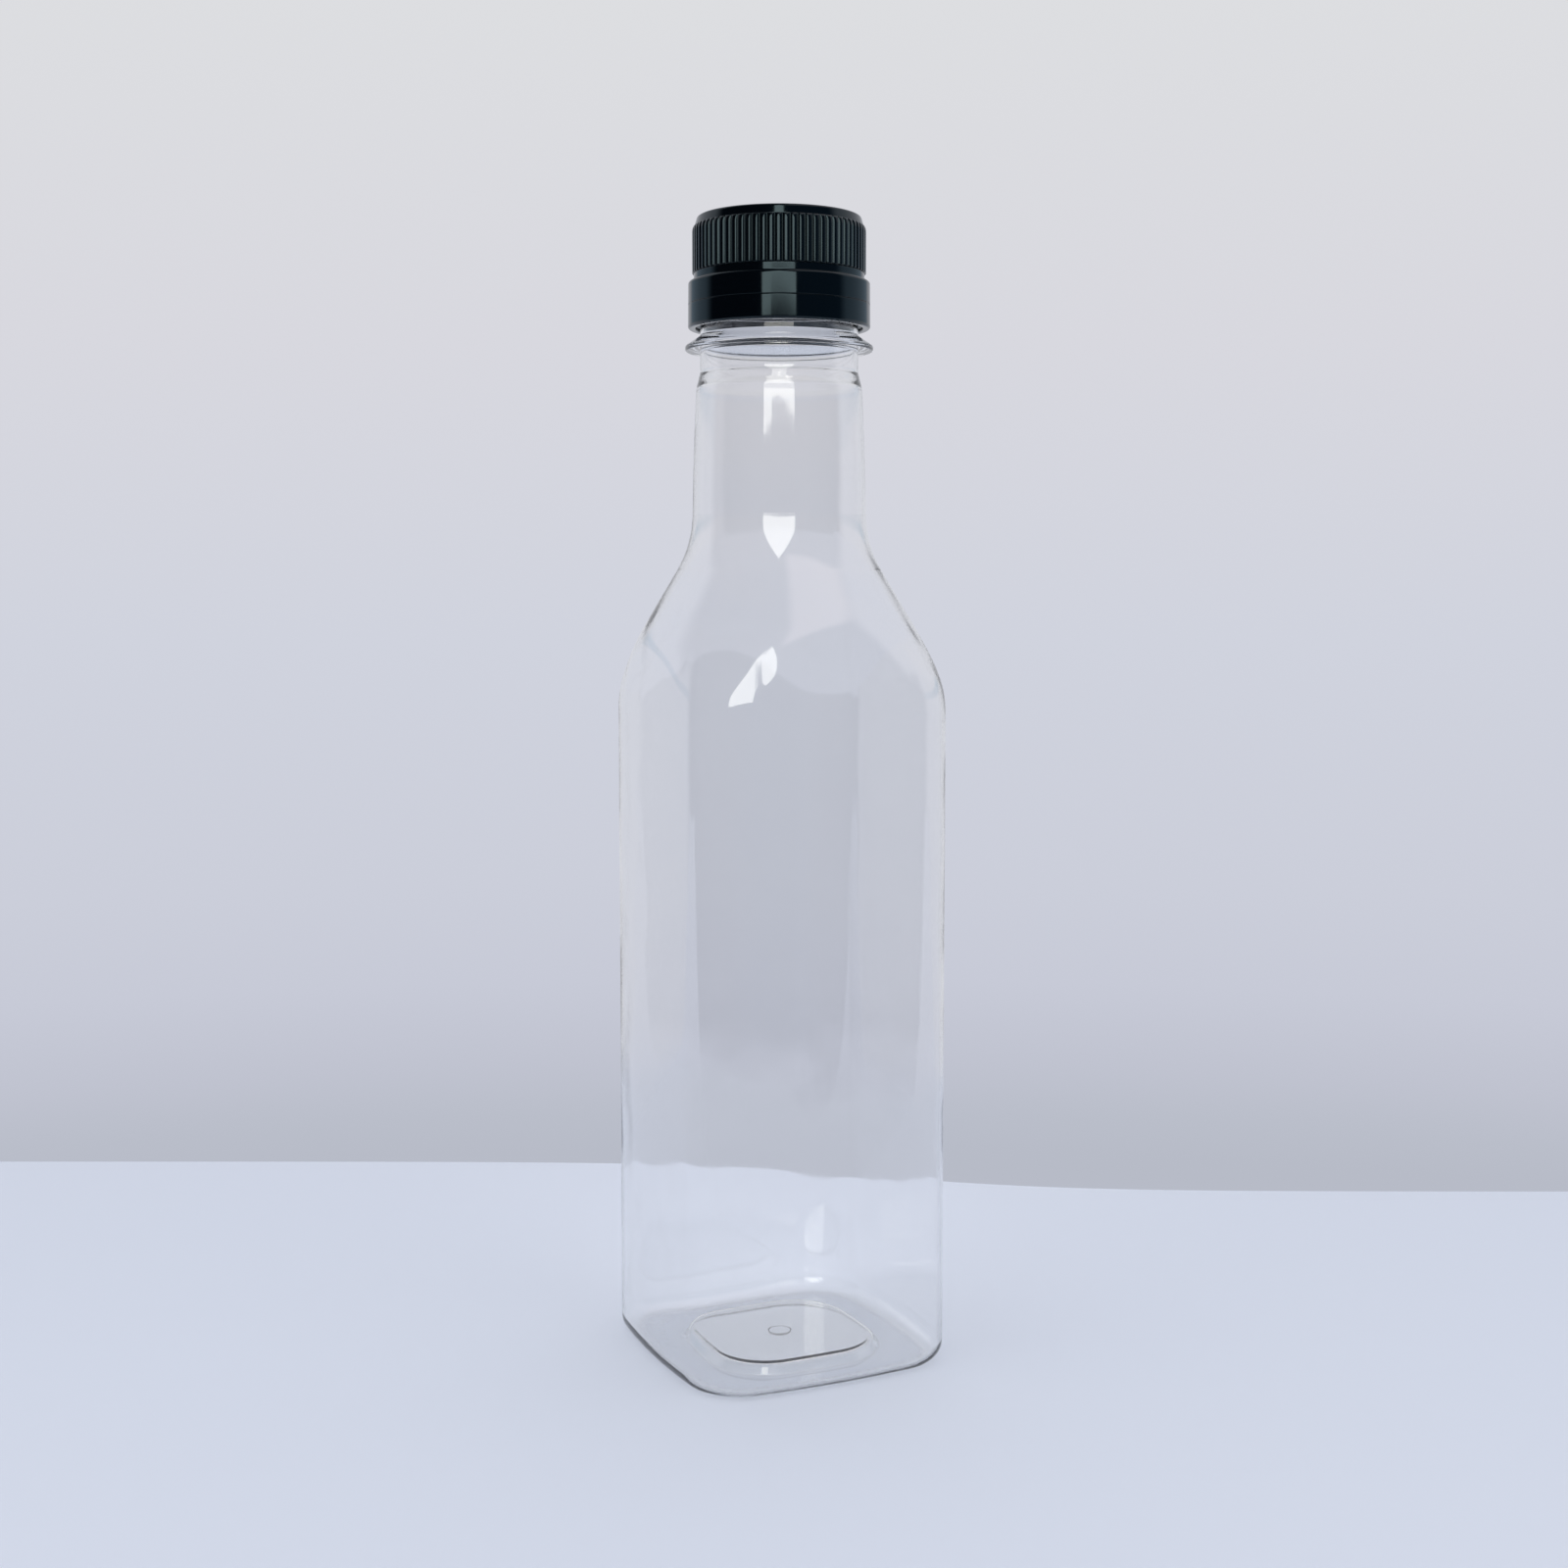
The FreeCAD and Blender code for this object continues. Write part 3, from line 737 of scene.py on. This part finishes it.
# How far out a ring reaches at one angle. The crowned square is an arc on each face and an arc at
# each corner. Where it crosses the turned shape, the two distances are blended over a rounding:
# there the reach x solves lean_apart_2 * x * x + 2 * half_middle * x + end = 0.
REACH = """
    fold = PINGPONG angle eighth
    sine = SINE fold
    cosine = COSINE fold
    face_side = face_back * sine
    face_side_2 = face_side * face_side
    face_radius_2 = face_radius * face_radius
    face_root_2 = face_radius_2 - face_side_2
    face_root = SQRT face_root_2
    face_near = face_back * cosine
    face_reach = face_root - face_near
    face_lean = face_root / face_radius
    away = eighth - fold
    away_sine = SINE away
    away_cosine = COSINE away
    corner_side = corner_back * away_sine
    corner_side_2 = corner_side * corner_side
    corner_radius_2 = corner_radius * corner_radius
    corner_root_2 = corner_radius_2 - corner_side_2
    corner_root_2_up = MAXIMUM corner_root_2 0
    corner_root = SQRT corner_root_2_up
    corner_reach = MULTIPLY_ADD corner_back away_cosine corner_root
    corner_lean = corner_root / corner_radius
    on_corner = fold > corner_from
    reach_more = corner_reach - face_reach
    reach = MULTIPLY_ADD on_corner reach_more face_reach
    lean_more = corner_lean - face_lean
    lean = MULTIPLY_ADD on_corner lean_more face_lean
    alike = lean * slope
    unlike = 1 - alike
    width = blend * unlike
    gap = round - reach
    gap_round = gap * slope
    gap_back = gap * -1
    gap_square = gap_back * lean
    spread = MAXIMUM gap_round gap_square
    crossing = spread < width
    square_part = lean * reach
    round_part = slope * round
    lean_apart = lean - slope
    parts_apart = square_part - round_part
    leans = lean + slope
    parts = square_part + round_part
    lean_apart_2 = lean_apart * lean_apart
    apart = lean_apart * parts_apart
    width_leans = width * leans
    half_middle = width_leans - apart
    parts_apart_2 = parts_apart * parts_apart
    end_far = MULTIPLY_ADD width width parts_apart_2
    width_parts = width * parts
    end_near = width_parts * -2
    end = end_far + end_near
    half_middle_2 = half_middle * half_middle
    ends = lean_apart_2 * end
    root_2 = half_middle_2 - ends
    root_2_up = MAXIMUM root_2 0
    root = SQRT root_2_up
    under = half_middle + root
    over = end * -1
    blended = over / under
    plain = MINIMUM reach round
    change = blended - plain
    out = MULTIPLY_ADD crossing change plain
"""


def skin_tree():
    """Sweeps a list of rings round the axis, each limited by its own crowned square."""
    tree, given = geometry_tree("Skin from rings", (
        ("Columns", "NodeSocketInt", 192),
        ("Corner Gathering", "NodeSocketFloat", 0.1),
        ("Slope Cosine", "NodeSocketFloat", 1.0),
        ("Rib Count", "NodeSocketFloat", 0.0),
        ("Rib Depth", "NodeSocketFloat", 0.0),
        ("Rib Bluntness", "NodeSocketFloat", 3.0),
        ("Waviness", "NodeSocketFloat", 0.0),
        ("Wave Length", "NodeSocketFloat", 13 * MM),
        ("Merge Distance", "NodeSocketFloat", 0.01 * MM),
    ))
    rings = given.outputs["Geometry"]
    count = add(tree, "GeometryNodeAttributeDomainSize", inputs={"Geometry": rings})
    columns = work_out(tree, {"columns": given.outputs["Columns"]}, "with_seam = columns + 1")
    grid = add(tree, "GeometryNodeMeshGrid", inputs={
        "Size X": 1.0, "Size Y": 1.0, "Vertices X": columns["with_seam"],
        "Vertices Y": count.outputs["Point Count"]})
    place = add(tree, "ShaderNodeSeparateXYZ", inputs={
        0: add(tree, "GeometryNodeInputPosition").outputs[0]})
    known = {
        "x": place.outputs[0], "y": place.outputs[1], "rings": count.outputs["Point Count"],
        "gathering": given.outputs["Corner Gathering"]}
    turned = work_out(tree, known, """
        share = x + 0.5
        even = share * full_turn
        fourfold = even * 4
        pull = SINE fourfold
        angle = MULTIPLY_ADD pull gathering even
        angle_sine = SINE angle
        angle_cosine = COSINE angle
        up = y + 0.5
        last = rings - 1
        along = up * last
        ring = ROUND along
    """)
    values = {**turned, "slope": given.outputs["Slope Cosine"]}
    for name in RING_VALUES:
        read = add(tree, "GeometryNodeInputNamedAttribute", {"data_type": "FLOAT"}, {"Name": name})
        values[name] = add(tree, "GeometryNodeSampleIndex", {"data_type": "FLOAT"}, {
            "Geometry": rings, "Value": read.outputs["Attribute"],
            "Index": turned["ring"]}).outputs["Value"]
    values = work_out(tree, values, REACH + """
        x_even = out * angle_cosine
        y_even = out * angle_sine
    """)
    even = add(tree, "ShaderNodeCombineXYZ", inputs={
        0: values["x_even"], 1: values["y_even"], 2: values["height"]})
    swell = add(tree, "ShaderNodeTexNoise", {"noise_dimensions": "3D"}, {
        "Vector": even.outputs[0], "Detail": 1.0, "Roughness": 0.4})
    # Each rib has a blunt crest, and its sides steepen until they meet in a sharp groove.
    values = work_out(tree, {
        **values, "swell": swell.outputs["Fac"], "waviness": given.outputs["Waviness"],
        "wave_length": given.outputs["Wave Length"], "rib_count": given.outputs["Rib Count"],
        "rib_depth": given.outputs["Rib Depth"],
        "rib_bluntness": given.outputs["Rib Bluntness"]}, """
        scale = 1 / wave_length
        amount = wave * waviness
        inward = amount * swell
        uneven = out - inward
        rib_turns = share * rib_count
        from_crest = PINGPONG rib_turns 0.5
        off_crest = from_crest * 2
        fallen = POWER off_crest rib_bluntness
        crest = 1 - fallen
        rib_reach = rib * rib_depth
        ribbed = MULTIPLY_ADD crest rib_reach uneven
        x_out = ribbed * angle_cosine
        y_out = ribbed * angle_sine
    """)
    tree.links.new(values["scale"], swell.inputs["Scale"])
    final = add(tree, "ShaderNodeCombineXYZ", inputs={
        0: values["x_out"], 1: values["y_out"], 2: values["height"]})
    moved = add(tree, "GeometryNodeSetPosition", inputs={
        "Geometry": grid.outputs["Mesh"], "Position": final.outputs[0]})
    closed = add(tree, "GeometryNodeMergeByDistance", inputs={
        "Geometry": moved.outputs[0], "Distance": given.outputs["Merge Distance"]})
    close_tree(tree, given, closed.outputs[0])
    return tree


def bridge_tree():
    """Small upright bridges across the tear slit."""
    tree, given = geometry_tree("Tear bridges", (
        ("Count", "NodeSocketInt", 12),
        ("Radius", "NodeSocketFloat", 15 * MM),
        ("Middle Height", "NodeSocketFloat", 0.0),
        ("Width", "NodeSocketFloat", 0.9 * MM),
        ("Depth", "NodeSocketFloat", 0.6 * MM),
        ("Height", "NodeSocketFloat", 0.4 * MM),
    ))
    block_size = add(tree, "ShaderNodeCombineXYZ", inputs={
        0: given.outputs["Depth"], 1: given.outputs["Width"], 2: given.outputs["Height"]})
    block = add(tree, "GeometryNodeMeshCube", inputs={"Size": block_size.outputs[0]})
    circle_points = add(tree, "GeometryNodeMeshCircle", {"fill_type": "NONE"}, {
        "Vertices": given.outputs["Count"], "Radius": given.outputs["Radius"]})
    lift = add(tree, "ShaderNodeCombineXYZ", inputs={2: given.outputs["Middle Height"]})
    lifted = add(tree, "GeometryNodeTransform", inputs={
        "Geometry": circle_points.outputs[0], "Translation": lift.outputs[0]})
    around = work_out(tree, {
        "index": add(tree, "GeometryNodeInputIndex").outputs[0], "count": given.outputs["Count"]}, """
        share = index / count
        angle = share * full_turn
    """)
    facing = add(tree, "ShaderNodeCombineXYZ", inputs={2: around["angle"]})
    placed = add(tree, "GeometryNodeInstanceOnPoints", inputs={
        "Points": lifted.outputs[0], "Instance": block.outputs[0], "Rotation": facing.outputs[0]})
    close_tree(tree, given, placed.outputs[0])
    return tree


def thread_tree():
    """A thread ridge: a flat-topped section swept along a helix, its ends running out."""
    tree, given = geometry_tree("Thread ridge", (
        ("Radius", "NodeSocketFloat", 12 * MM),
        ("Start Height", "NodeSocketFloat", 0.0),
        ("Pitch", "NodeSocketFloat", 3 * MM),
        ("Turns", "NodeSocketFloat", 1.75),
        ("Depth", "NodeSocketFloat", 1.5 * MM),
        ("Root Width", "NodeSocketFloat", 1.5 * MM),
        ("Crest Width", "NodeSocketFloat", 0.9 * MM),
    ))
    known = {name: given.outputs[name] for name in ("Pitch", "Turns")}
    rise = work_out(tree, known, "rise = Pitch * Turns")
    helix = add(tree, "GeometryNodeCurveSpiral", inputs={
        "Resolution": 64, "Rotations": given.outputs["Turns"],
        "Start Radius": given.outputs["Radius"], "End Radius": given.outputs["Radius"],
        "Height": rise["rise"]})
    upright = add(tree, "GeometryNodeSetCurveNormal", {"mode": "Z_UP"}, {"Curve": helix.outputs[0]})
    along = add(tree, "GeometryNodeSplineParameter").outputs["Factor"]
    runout = work_out(tree, {"along": along}, """
        from_end = 1 - along
        nearer = MINIMUM along from_end
        steep = nearer * 16
        soft = steep + 0.1
        size = MINIMUM soft 1
    """)
    section = add(tree, "GeometryNodeCurvePrimitiveQuadrilateral", {"mode": "TRAPEZOID"}, {
        "Height": given.outputs["Depth"], "Bottom Width": given.outputs["Root Width"],
        "Top Width": given.outputs["Crest Width"], "Offset": 0.0})
    swept = add(tree, "GeometryNodeCurveToMesh", inputs={
        "Curve": upright.outputs[0], "Profile Curve": section.outputs[0],
        "Scale": runout["size"], "Fill Caps": True})
    lift = add(tree, "ShaderNodeCombineXYZ", inputs={2: given.outputs["Start Height"]})
    lifted = add(tree, "GeometryNodeTransform", inputs={
        "Geometry": swept.outputs[0], "Translation": lift.outputs[0]})
    close_tree(tree, given, lifted.outputs[0])
    return tree


def ring_mesh(name, rings):
    """A mesh of loose points, one for each ring, that carries the ring's values."""
    mesh = bpy.data.meshes.new(name)
    mesh.vertices.add(len(rings))
    for value in RING_VALUES:
        attribute = mesh.attributes.new(value, "FLOAT", "POINT")
        attribute.data.foreach_set("value", [each[value] for each in rings])
    return mesh


def swept_skin(name, rings, values, material):
    """A piece that the skin tree makes from these rings."""
    tree = bpy.data.node_groups.get("Skin from rings") or skin_tree()
    return grown(name, tree, values, material, ring_mesh(name + "_rings", rings))


# ---- operators ------------------------------------------------------------------------------

def chosen(scene):
    """The settings as they stand: the bottle, the thread, the cap and the finishes."""
    return (
        scene.oil_bottle_sizes, scene.oil_bottle_thread, scene.oil_bottle_cap,
        scene.oil_bottle_finishes)


class OILBOTTLE_OT_bottle(bpy.types.Operator):
    """Makes the blown bottle with its square body, conical shoulder, neck and finish"""
    bl_idname = "oil_bottle.bottle"
    bl_label = "Blown bottle"

    def execute(self, context):
        sizes, _, _, finishes = chosen(context.scene)
        piece = swept_skin("blown_bottle", bottle_section(sizes), {
            "Columns": BOTTLE_COLUMNS,
            "Slope Cosine": math.cos(sizes.shoulder_angle),
            "Waviness": sizes.waviness,
        }, stretch_blown_pet(finishes))
        settle(piece, "bottle")
        return {"FINISHED"}


class OILBOTTLE_OT_threads(bpy.types.Operator):
    """Makes the thread on the finish and the one inside the cap"""
    bl_idname = "oil_bottle.threads"
    bl_label = "Threads"

    def execute(self, context):
        sizes, thread, cap, finishes = chosen(context.scene)
        tree = thread_tree()
        rim = cap_heights(sizes, cap)["rim"]
        bore = cap_radii(sizes, thread, cap)["bore"]
        depth = thread.depth + thread.rooting
        start = rim - thread.drop
        places = (
            ("neck_thread", "bottle", "clear_plastic", stretch_blown_pet(finishes), start,
             sizes.finish_radius + (thread.depth - thread.rooting) / 2, thread.foot, thread.crest),
            ("cap_thread", "cap", "black_plastic", moulded_black_polypropylene(finishes),
             start - thread.pitch / 2, bore - (thread.depth - thread.rooting) / 2,
             thread.crest, thread.foot),
        )
        for name, node, slot, material, height, radius, inner_width, outer_width in places:
            piece = grown(name, tree, {
                "Radius": radius, "Start Height": height, "Pitch": thread.pitch,
                "Turns": thread.turns, "Depth": depth, "Root Width": inner_width,
                "Crest Width": outer_width,
            }, material)
            settle(piece, node)
        return {"FINISHED"}


class OILBOTTLE_OT_cap(bpy.types.Operator):
    """Makes the cap's shell and its tamper-evident band"""
    bl_idname = "oil_bottle.cap"
    bl_label = "Cap shell and band"

    def execute(self, context):
        sizes, thread, cap, finishes = chosen(context.scene)
        material = moulded_black_polypropylene(finishes)
        for name, section in (("cap_shell", shell_section), ("tamper_band", band_section)):
            piece = swept_skin(name, section(sizes, thread, cap), {
                "Columns": CAP_COLUMNS, "Corner Gathering": 0.0}, material)
            settle(piece, "cap")
        return {"FINISHED"}


class OILBOTTLE_OT_ribs(bpy.types.Operator):
    """Makes the grip ribs round the cap"""
    bl_idname = "oil_bottle.ribs"
    bl_label = "Grip ribs"

    def execute(self, context):
        sizes, thread, cap, finishes = chosen(context.scene)
        piece = swept_skin("cap_ribs", rib_section(sizes, thread, cap), {
            "Columns": RIB_COLUMNS * cap.rib_count, "Corner Gathering": 0.0,
            "Rib Count": cap.rib_count, "Rib Depth": cap.rib_depth,
            "Rib Bluntness": cap.rib_bluntness,
        }, moulded_black_polypropylene(finishes))
        settle(piece, "cap")
        return {"FINISHED"}


class OILBOTTLE_OT_bridges(bpy.types.Operator):
    """Makes the bridges that tie the tamper-evident band to the cap"""
    bl_idname = "oil_bottle.bridges"
    bl_label = "Tear bridges"

    def execute(self, context):
        sizes, thread, cap, finishes = chosen(context.scene)
        z, r = cap_heights(sizes, cap), cap_radii(sizes, thread, cap)
        piece = grown("tear_bridges", bridge_tree(), {
            "Count": cap.bridge_count, "Radius": r["band_bore"] + cap.bridge_depth / 2,
            "Middle Height": (z["slit_base"] + z["slit_top"]) / 2, "Width": cap.bridge_width,
            "Depth": cap.bridge_depth, "Height": cap.slit * 1.5,
        }, moulded_black_polypropylene(finishes))
        settle(piece, "cap")
        return {"FINISHED"}


class OILBOTTLE_OT_stage(bpy.types.Operator):
    """Makes the paper floor, the world behind it, the window light and the camera"""
    bl_idname = "oil_bottle.stage"
    bl_label = "Stage"

    def execute(self, context):
        stage = context.scene.oil_bottle_stage
        towards = Vector((math.sin(stage.camera_azimuth), -math.cos(stage.camera_azimuth), 0))
        context.scene.view_settings.view_transform = "Standard"
        make_paper(stage, towards)
        make_world(context.scene, towards)
        make_window(stage, towards)
        make_camera(context.scene, stage, towards)
        return {"FINISHED"}


def rightwards(towards):
    """The level direction to the right of a camera that stands in this direction."""
    return Vector((-towards.y, towards.x, 0))


def make_paper(stage, towards):
    """A sheet of paper under the bottle, its back edge gently curled."""
    half_width, steps = 900 * MM, 360
    away = -towards
    right = rightwards(towards)
    corners = []
    for n in range(steps + 1):
        across = half_width * (2 * n / steps - 1)
        swing = math.tanh((across - stage.paper_curl_side) / stage.paper_curl_width)
        corners.append(right * across + away * (stage.paper_back - stage.paper_curl * swing))
    front = away * stage.paper_front
    corners += [right * half_width - front, -right * half_width - front]
    mesh = bpy.data.meshes.new("paper_floor")
    mesh.from_pydata(corners, [], [range(len(corners))])
    if mesh.polygons[0].normal.z < 0:
        mesh.flip_normals()
    mesh.materials.append(matt_paper(stage))
    floor = bpy.data.objects.new("paper_floor", mesh)
    bpy.context.scene.collection.objects.link(floor)


# The wall as it is seen, by the sine of the elevation, with painted shade that makes it a little darker
# towards its foot.
BACKDROP = (
    (-0.268, "B7BBC7"),
    (-0.248, "BABECA"),
    (-0.225, "C0C3D0"),
    (-0.189, "C7CAD7"),
    (-0.142, "CBCEDA"),
    (-0.025, "D0D3DE"),
    (0.115, "D8D8DF"),
    (0.266, "DDDEE1"),
)

# The room as reflections see it. A direction has a height, a side (to the right) and a depth (away
# from the camera), each from -1 to 1, and each share rises smoothly between the two values given.
ROOM_SHARES = (
    ("wall", "round_wall", -0.08, 0.2),  # the pale wall goes round the bottle's back
    ("right", "side", -0.6, 0.7),  # before the bottle the room is dim, a little less on the right
    ("near_rail", "off_rail", 0.05, 0.03),  # a grey-blue rail runs along the wall, over the neck
    ("far_aside", "aside", 0.5, 0.62),  # and only on its far left and far right
    ("floor", "height", -0.2, -0.25),
    ("overhead", "height", 0.68, 0.76),
    ("lit_side", "side", 0.05, 0.2),  # the ceiling is lit on the right of the camera only
)
ROOM_LAYERS = (
    # name, the share of its second colour, its first and its second colour or layer
    ("dim_room", "right", "1C232C", "3C5264"),
    ("back_wall", "rail", "D6D8DF", "9FB3C3"),
    ("walls", "wall", "dim_room", "back_wall"),
    ("walls_and_floor", "floor", "walls", "CDD3E2"),
    ("room", "ceiling", "walls_and_floor", "F0E6E8"),
)
RAIL_HEIGHT = 0.157


def make_world(scene, towards):
    """A pale wall for what is seen straight or through the plastic, and a dim room for reflections."""
    world = bpy.data.worlds.new("studio")
    world.use_nodes = True
    tree = world.node_tree
    tree.nodes.clear()
    direction = add(tree, "ShaderNodeTexCoord").outputs["Generated"]
    height = add(tree, "ShaderNodeSeparateXYZ", inputs={0: direction}).outputs[2]
    values = {"height": height, "rail_height": RAIL_HEIGHT}
    for name, axis in (("depth", -towards), ("side", rightwards(towards))):
        values[name] = add(tree, "ShaderNodeVectorMath", {"operation": "DOT_PRODUCT"}, {
            0: direction, 1: axis}).outputs["Value"]
    values = work_out(tree, values, """
        place = MULTIPLY_ADD height 0.5 0.5
        round_wall = MULTIPLY_ADD side 0.1 depth
        over_rail = height - rail_height
        off_rail = ABSOLUTE over_rail
        aside = ABSOLUTE side
    """)
    # The wall's ramp carries painted shade: it darkens towards the wall's foot.
    backdrop = add(tree, "ShaderNodeValToRGB", inputs={0: values["place"]})
    stops = backdrop.color_ramp.elements
    while len(stops) > 1:
        stops.remove(stops[-1])
    for i, (sine, code) in enumerate(BACKDROP):
        stop = stops[0] if i == 0 else stops.new(sine / 2 + 0.5)
        stop.position = sine / 2 + 0.5
        stop.color = linear(code)
    for name, value, low, high in ROOM_SHARES:
        values[name] = add(tree, "ShaderNodeMapRange", {"interpolation_type": "SMOOTHSTEP"}, {
            "Value": values[value], "From Min": low, "From Max": high}).outputs[0]
    # Only what comes off the gloss sees the room. Light that the paper scatters comes from the wall.
    rays = add(tree, "ShaderNodeLightPath")
    values["reflected"] = rays.outputs["Glossy Depth"]
    values["scattered"] = rays.outputs["Diffuse Depth"]
    values = work_out(tree, values, """
        rail = near_rail * far_aside
        ceiling = overhead * lit_side
        lighting = scattered * 100
        counted = reflected - lighting
        off_gloss = counted > 0.5
    """)
    for name, share, first, second in ROOM_LAYERS:
        tones = [values[tone] if tone in values else linear(tone) for tone in (first, second)]
        values[name] = add(tree, "ShaderNodeMix", {"data_type": "RGBA"}, {
            0: values[share], 6: tones[0], 7: tones[1]}).outputs[2]
    seen = add(tree, "ShaderNodeMix", {"data_type": "RGBA"}, {
        0: values["off_gloss"], 6: backdrop.outputs[0], 7: values["room"]})
    background = add(tree, "ShaderNodeBackground", inputs={"Color": seen.outputs[2]})
    add(tree, "ShaderNodeOutputWorld", inputs={"Surface": background.outputs[0]})
    scene.world = world


def make_window(stage, towards):
    """One soft window behind the camera: dim near its sill, its curtains drawn together above."""
    light = bpy.data.lights.new("window", "AREA")
    light.shape = "RECTANGLE"
    light.size = stage.window_width
    light.size_y = stage.window_height
    light.energy = stage.window_power
    light.color = (1.0, 1.0, 0.93)  # a little warmer than the wall
    lamp = bpy.data.objects.new("window", light)
    bpy.context.scene.collection.objects.link(lamp)
    base = stage.camera_height + stage.window_lift
    middle = base + stage.window_height / 2
    lamp.location = towards * stage.window_distance + Vector((0, 0, middle))
    lamp.rotation_euler = towards.to_track_quat("Z", "Y").to_euler()
    lamp.visible_camera = False
    light.use_nodes = True
    tree = light.node_tree
    tree.nodes.clear()
    place = add(tree, "ShaderNodeNewGeometry").outputs["Position"]
    up = add(tree, "ShaderNodeSeparateXYZ", inputs={0: place}).outputs[2]
    side = add(tree, "ShaderNodeVectorMath", {"operation": "DOT_PRODUCT"}, {
        0: place, 1: rightwards(towards)}).outputs["Value"]
    # Up to the sill only a share of the light is left. On the far left there is no sill.
    known = {
        "up": up, "side": side, "base": base, "straight": stage.window_straight,
        "gathered": stage.window_height - stage.window_straight,
        "half_width": stage.window_width / 2, "sill_height": stage.window_sill,
        "sill_end": -0.45, "dim": stage.window_dim, "rest": 1 - stage.window_dim}
    shape = work_out(tree, known, """
        height = up - base
        above = height - straight
        gathering = MAXIMUM above 0
        closing = gathering / gathered
        open = 1 - closing
        half = open * half_width
        off = ABSOLUTE side
        between = off < half
        side_share = side / half_width
        no_sill = side_share < sill_end
        drop = no_sill * sill_height
        sill = sill_height - drop
        over_sill = height > sill
        more = over_sill * rest
        bright = more + dim
        strength = bright * between
    """)
    glow = add(tree, "ShaderNodeEmission", inputs={"Strength": shape["strength"]})
    add(tree, "ShaderNodeOutputLight", inputs={"Surface": glow.outputs[0]})


def make_camera(scene, stage, towards):
    """The camera, which looks a little down on the bottle."""
    data = bpy.data.cameras.new("camera")
    data.sensor_width = 36
    data.lens = stage.camera_lens
    data.shift_y = stage.camera_shift
    data.clip_start, data.clip_end = 0.01, 20
    camera = bpy.data.objects.new("camera", data)
    scene.collection.objects.link(camera)
    camera.location = (
        towards * stage.camera_distance + rightwards(towards) * stage.camera_side
        + Vector((0, 0, stage.camera_height)))
    pitch = stage.camera_pitch
    back = towards * math.cos(pitch) + Vector((0, 0, math.sin(pitch)))
    camera.rotation_euler = back.to_track_quat("Z", "Y").to_euler()
    scene.camera = camera


class OILBOTTLE_PT_panel(bpy.types.Panel):
    """Lists the pieces of the bottle and its settings"""
    bl_label = "Oil bottle"
    bl_idname = "OILBOTTLE_PT_panel"
    bl_space_type = "VIEW_3D"
    bl_region_type = "UI"
    bl_category = "Oil bottle"

    def draw(self, context):
        for operator in OPERATORS:
            self.layout.operator(operator.bl_idname)
        for name, group in SETTINGS.items():
            box = self.layout.box()
            box.label(text=group.__doc__)
            for value in group.__annotations__:
                box.prop(getattr(context.scene, name), value)


OPERATORS = (
    OILBOTTLE_OT_bottle,
    OILBOTTLE_OT_threads,
    OILBOTTLE_OT_cap,
    OILBOTTLE_OT_ribs,
    OILBOTTLE_OT_bridges,
    OILBOTTLE_OT_stage,
)


def register():
    for made in (*SETTINGS.values(), *OPERATORS, OILBOTTLE_PT_panel):
        bpy.utils.register_class(made)
    for name, group in SETTINGS.items():
        setattr(bpy.types.Scene, name, bpy.props.PointerProperty(type=group))


def unregister():
    for name in SETTINGS:
        delattr(bpy.types.Scene, name)
    for made in reversed((*SETTINGS.values(), *OPERATORS, OILBOTTLE_PT_panel)):
        bpy.utils.unregister_class(made)


def main():
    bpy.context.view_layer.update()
    register()
    for operator in OPERATORS:
        group, name = operator.bl_idname.split(".")
        getattr(getattr(bpy.ops, group), name)()


if __name__ == "__main__":
    main()
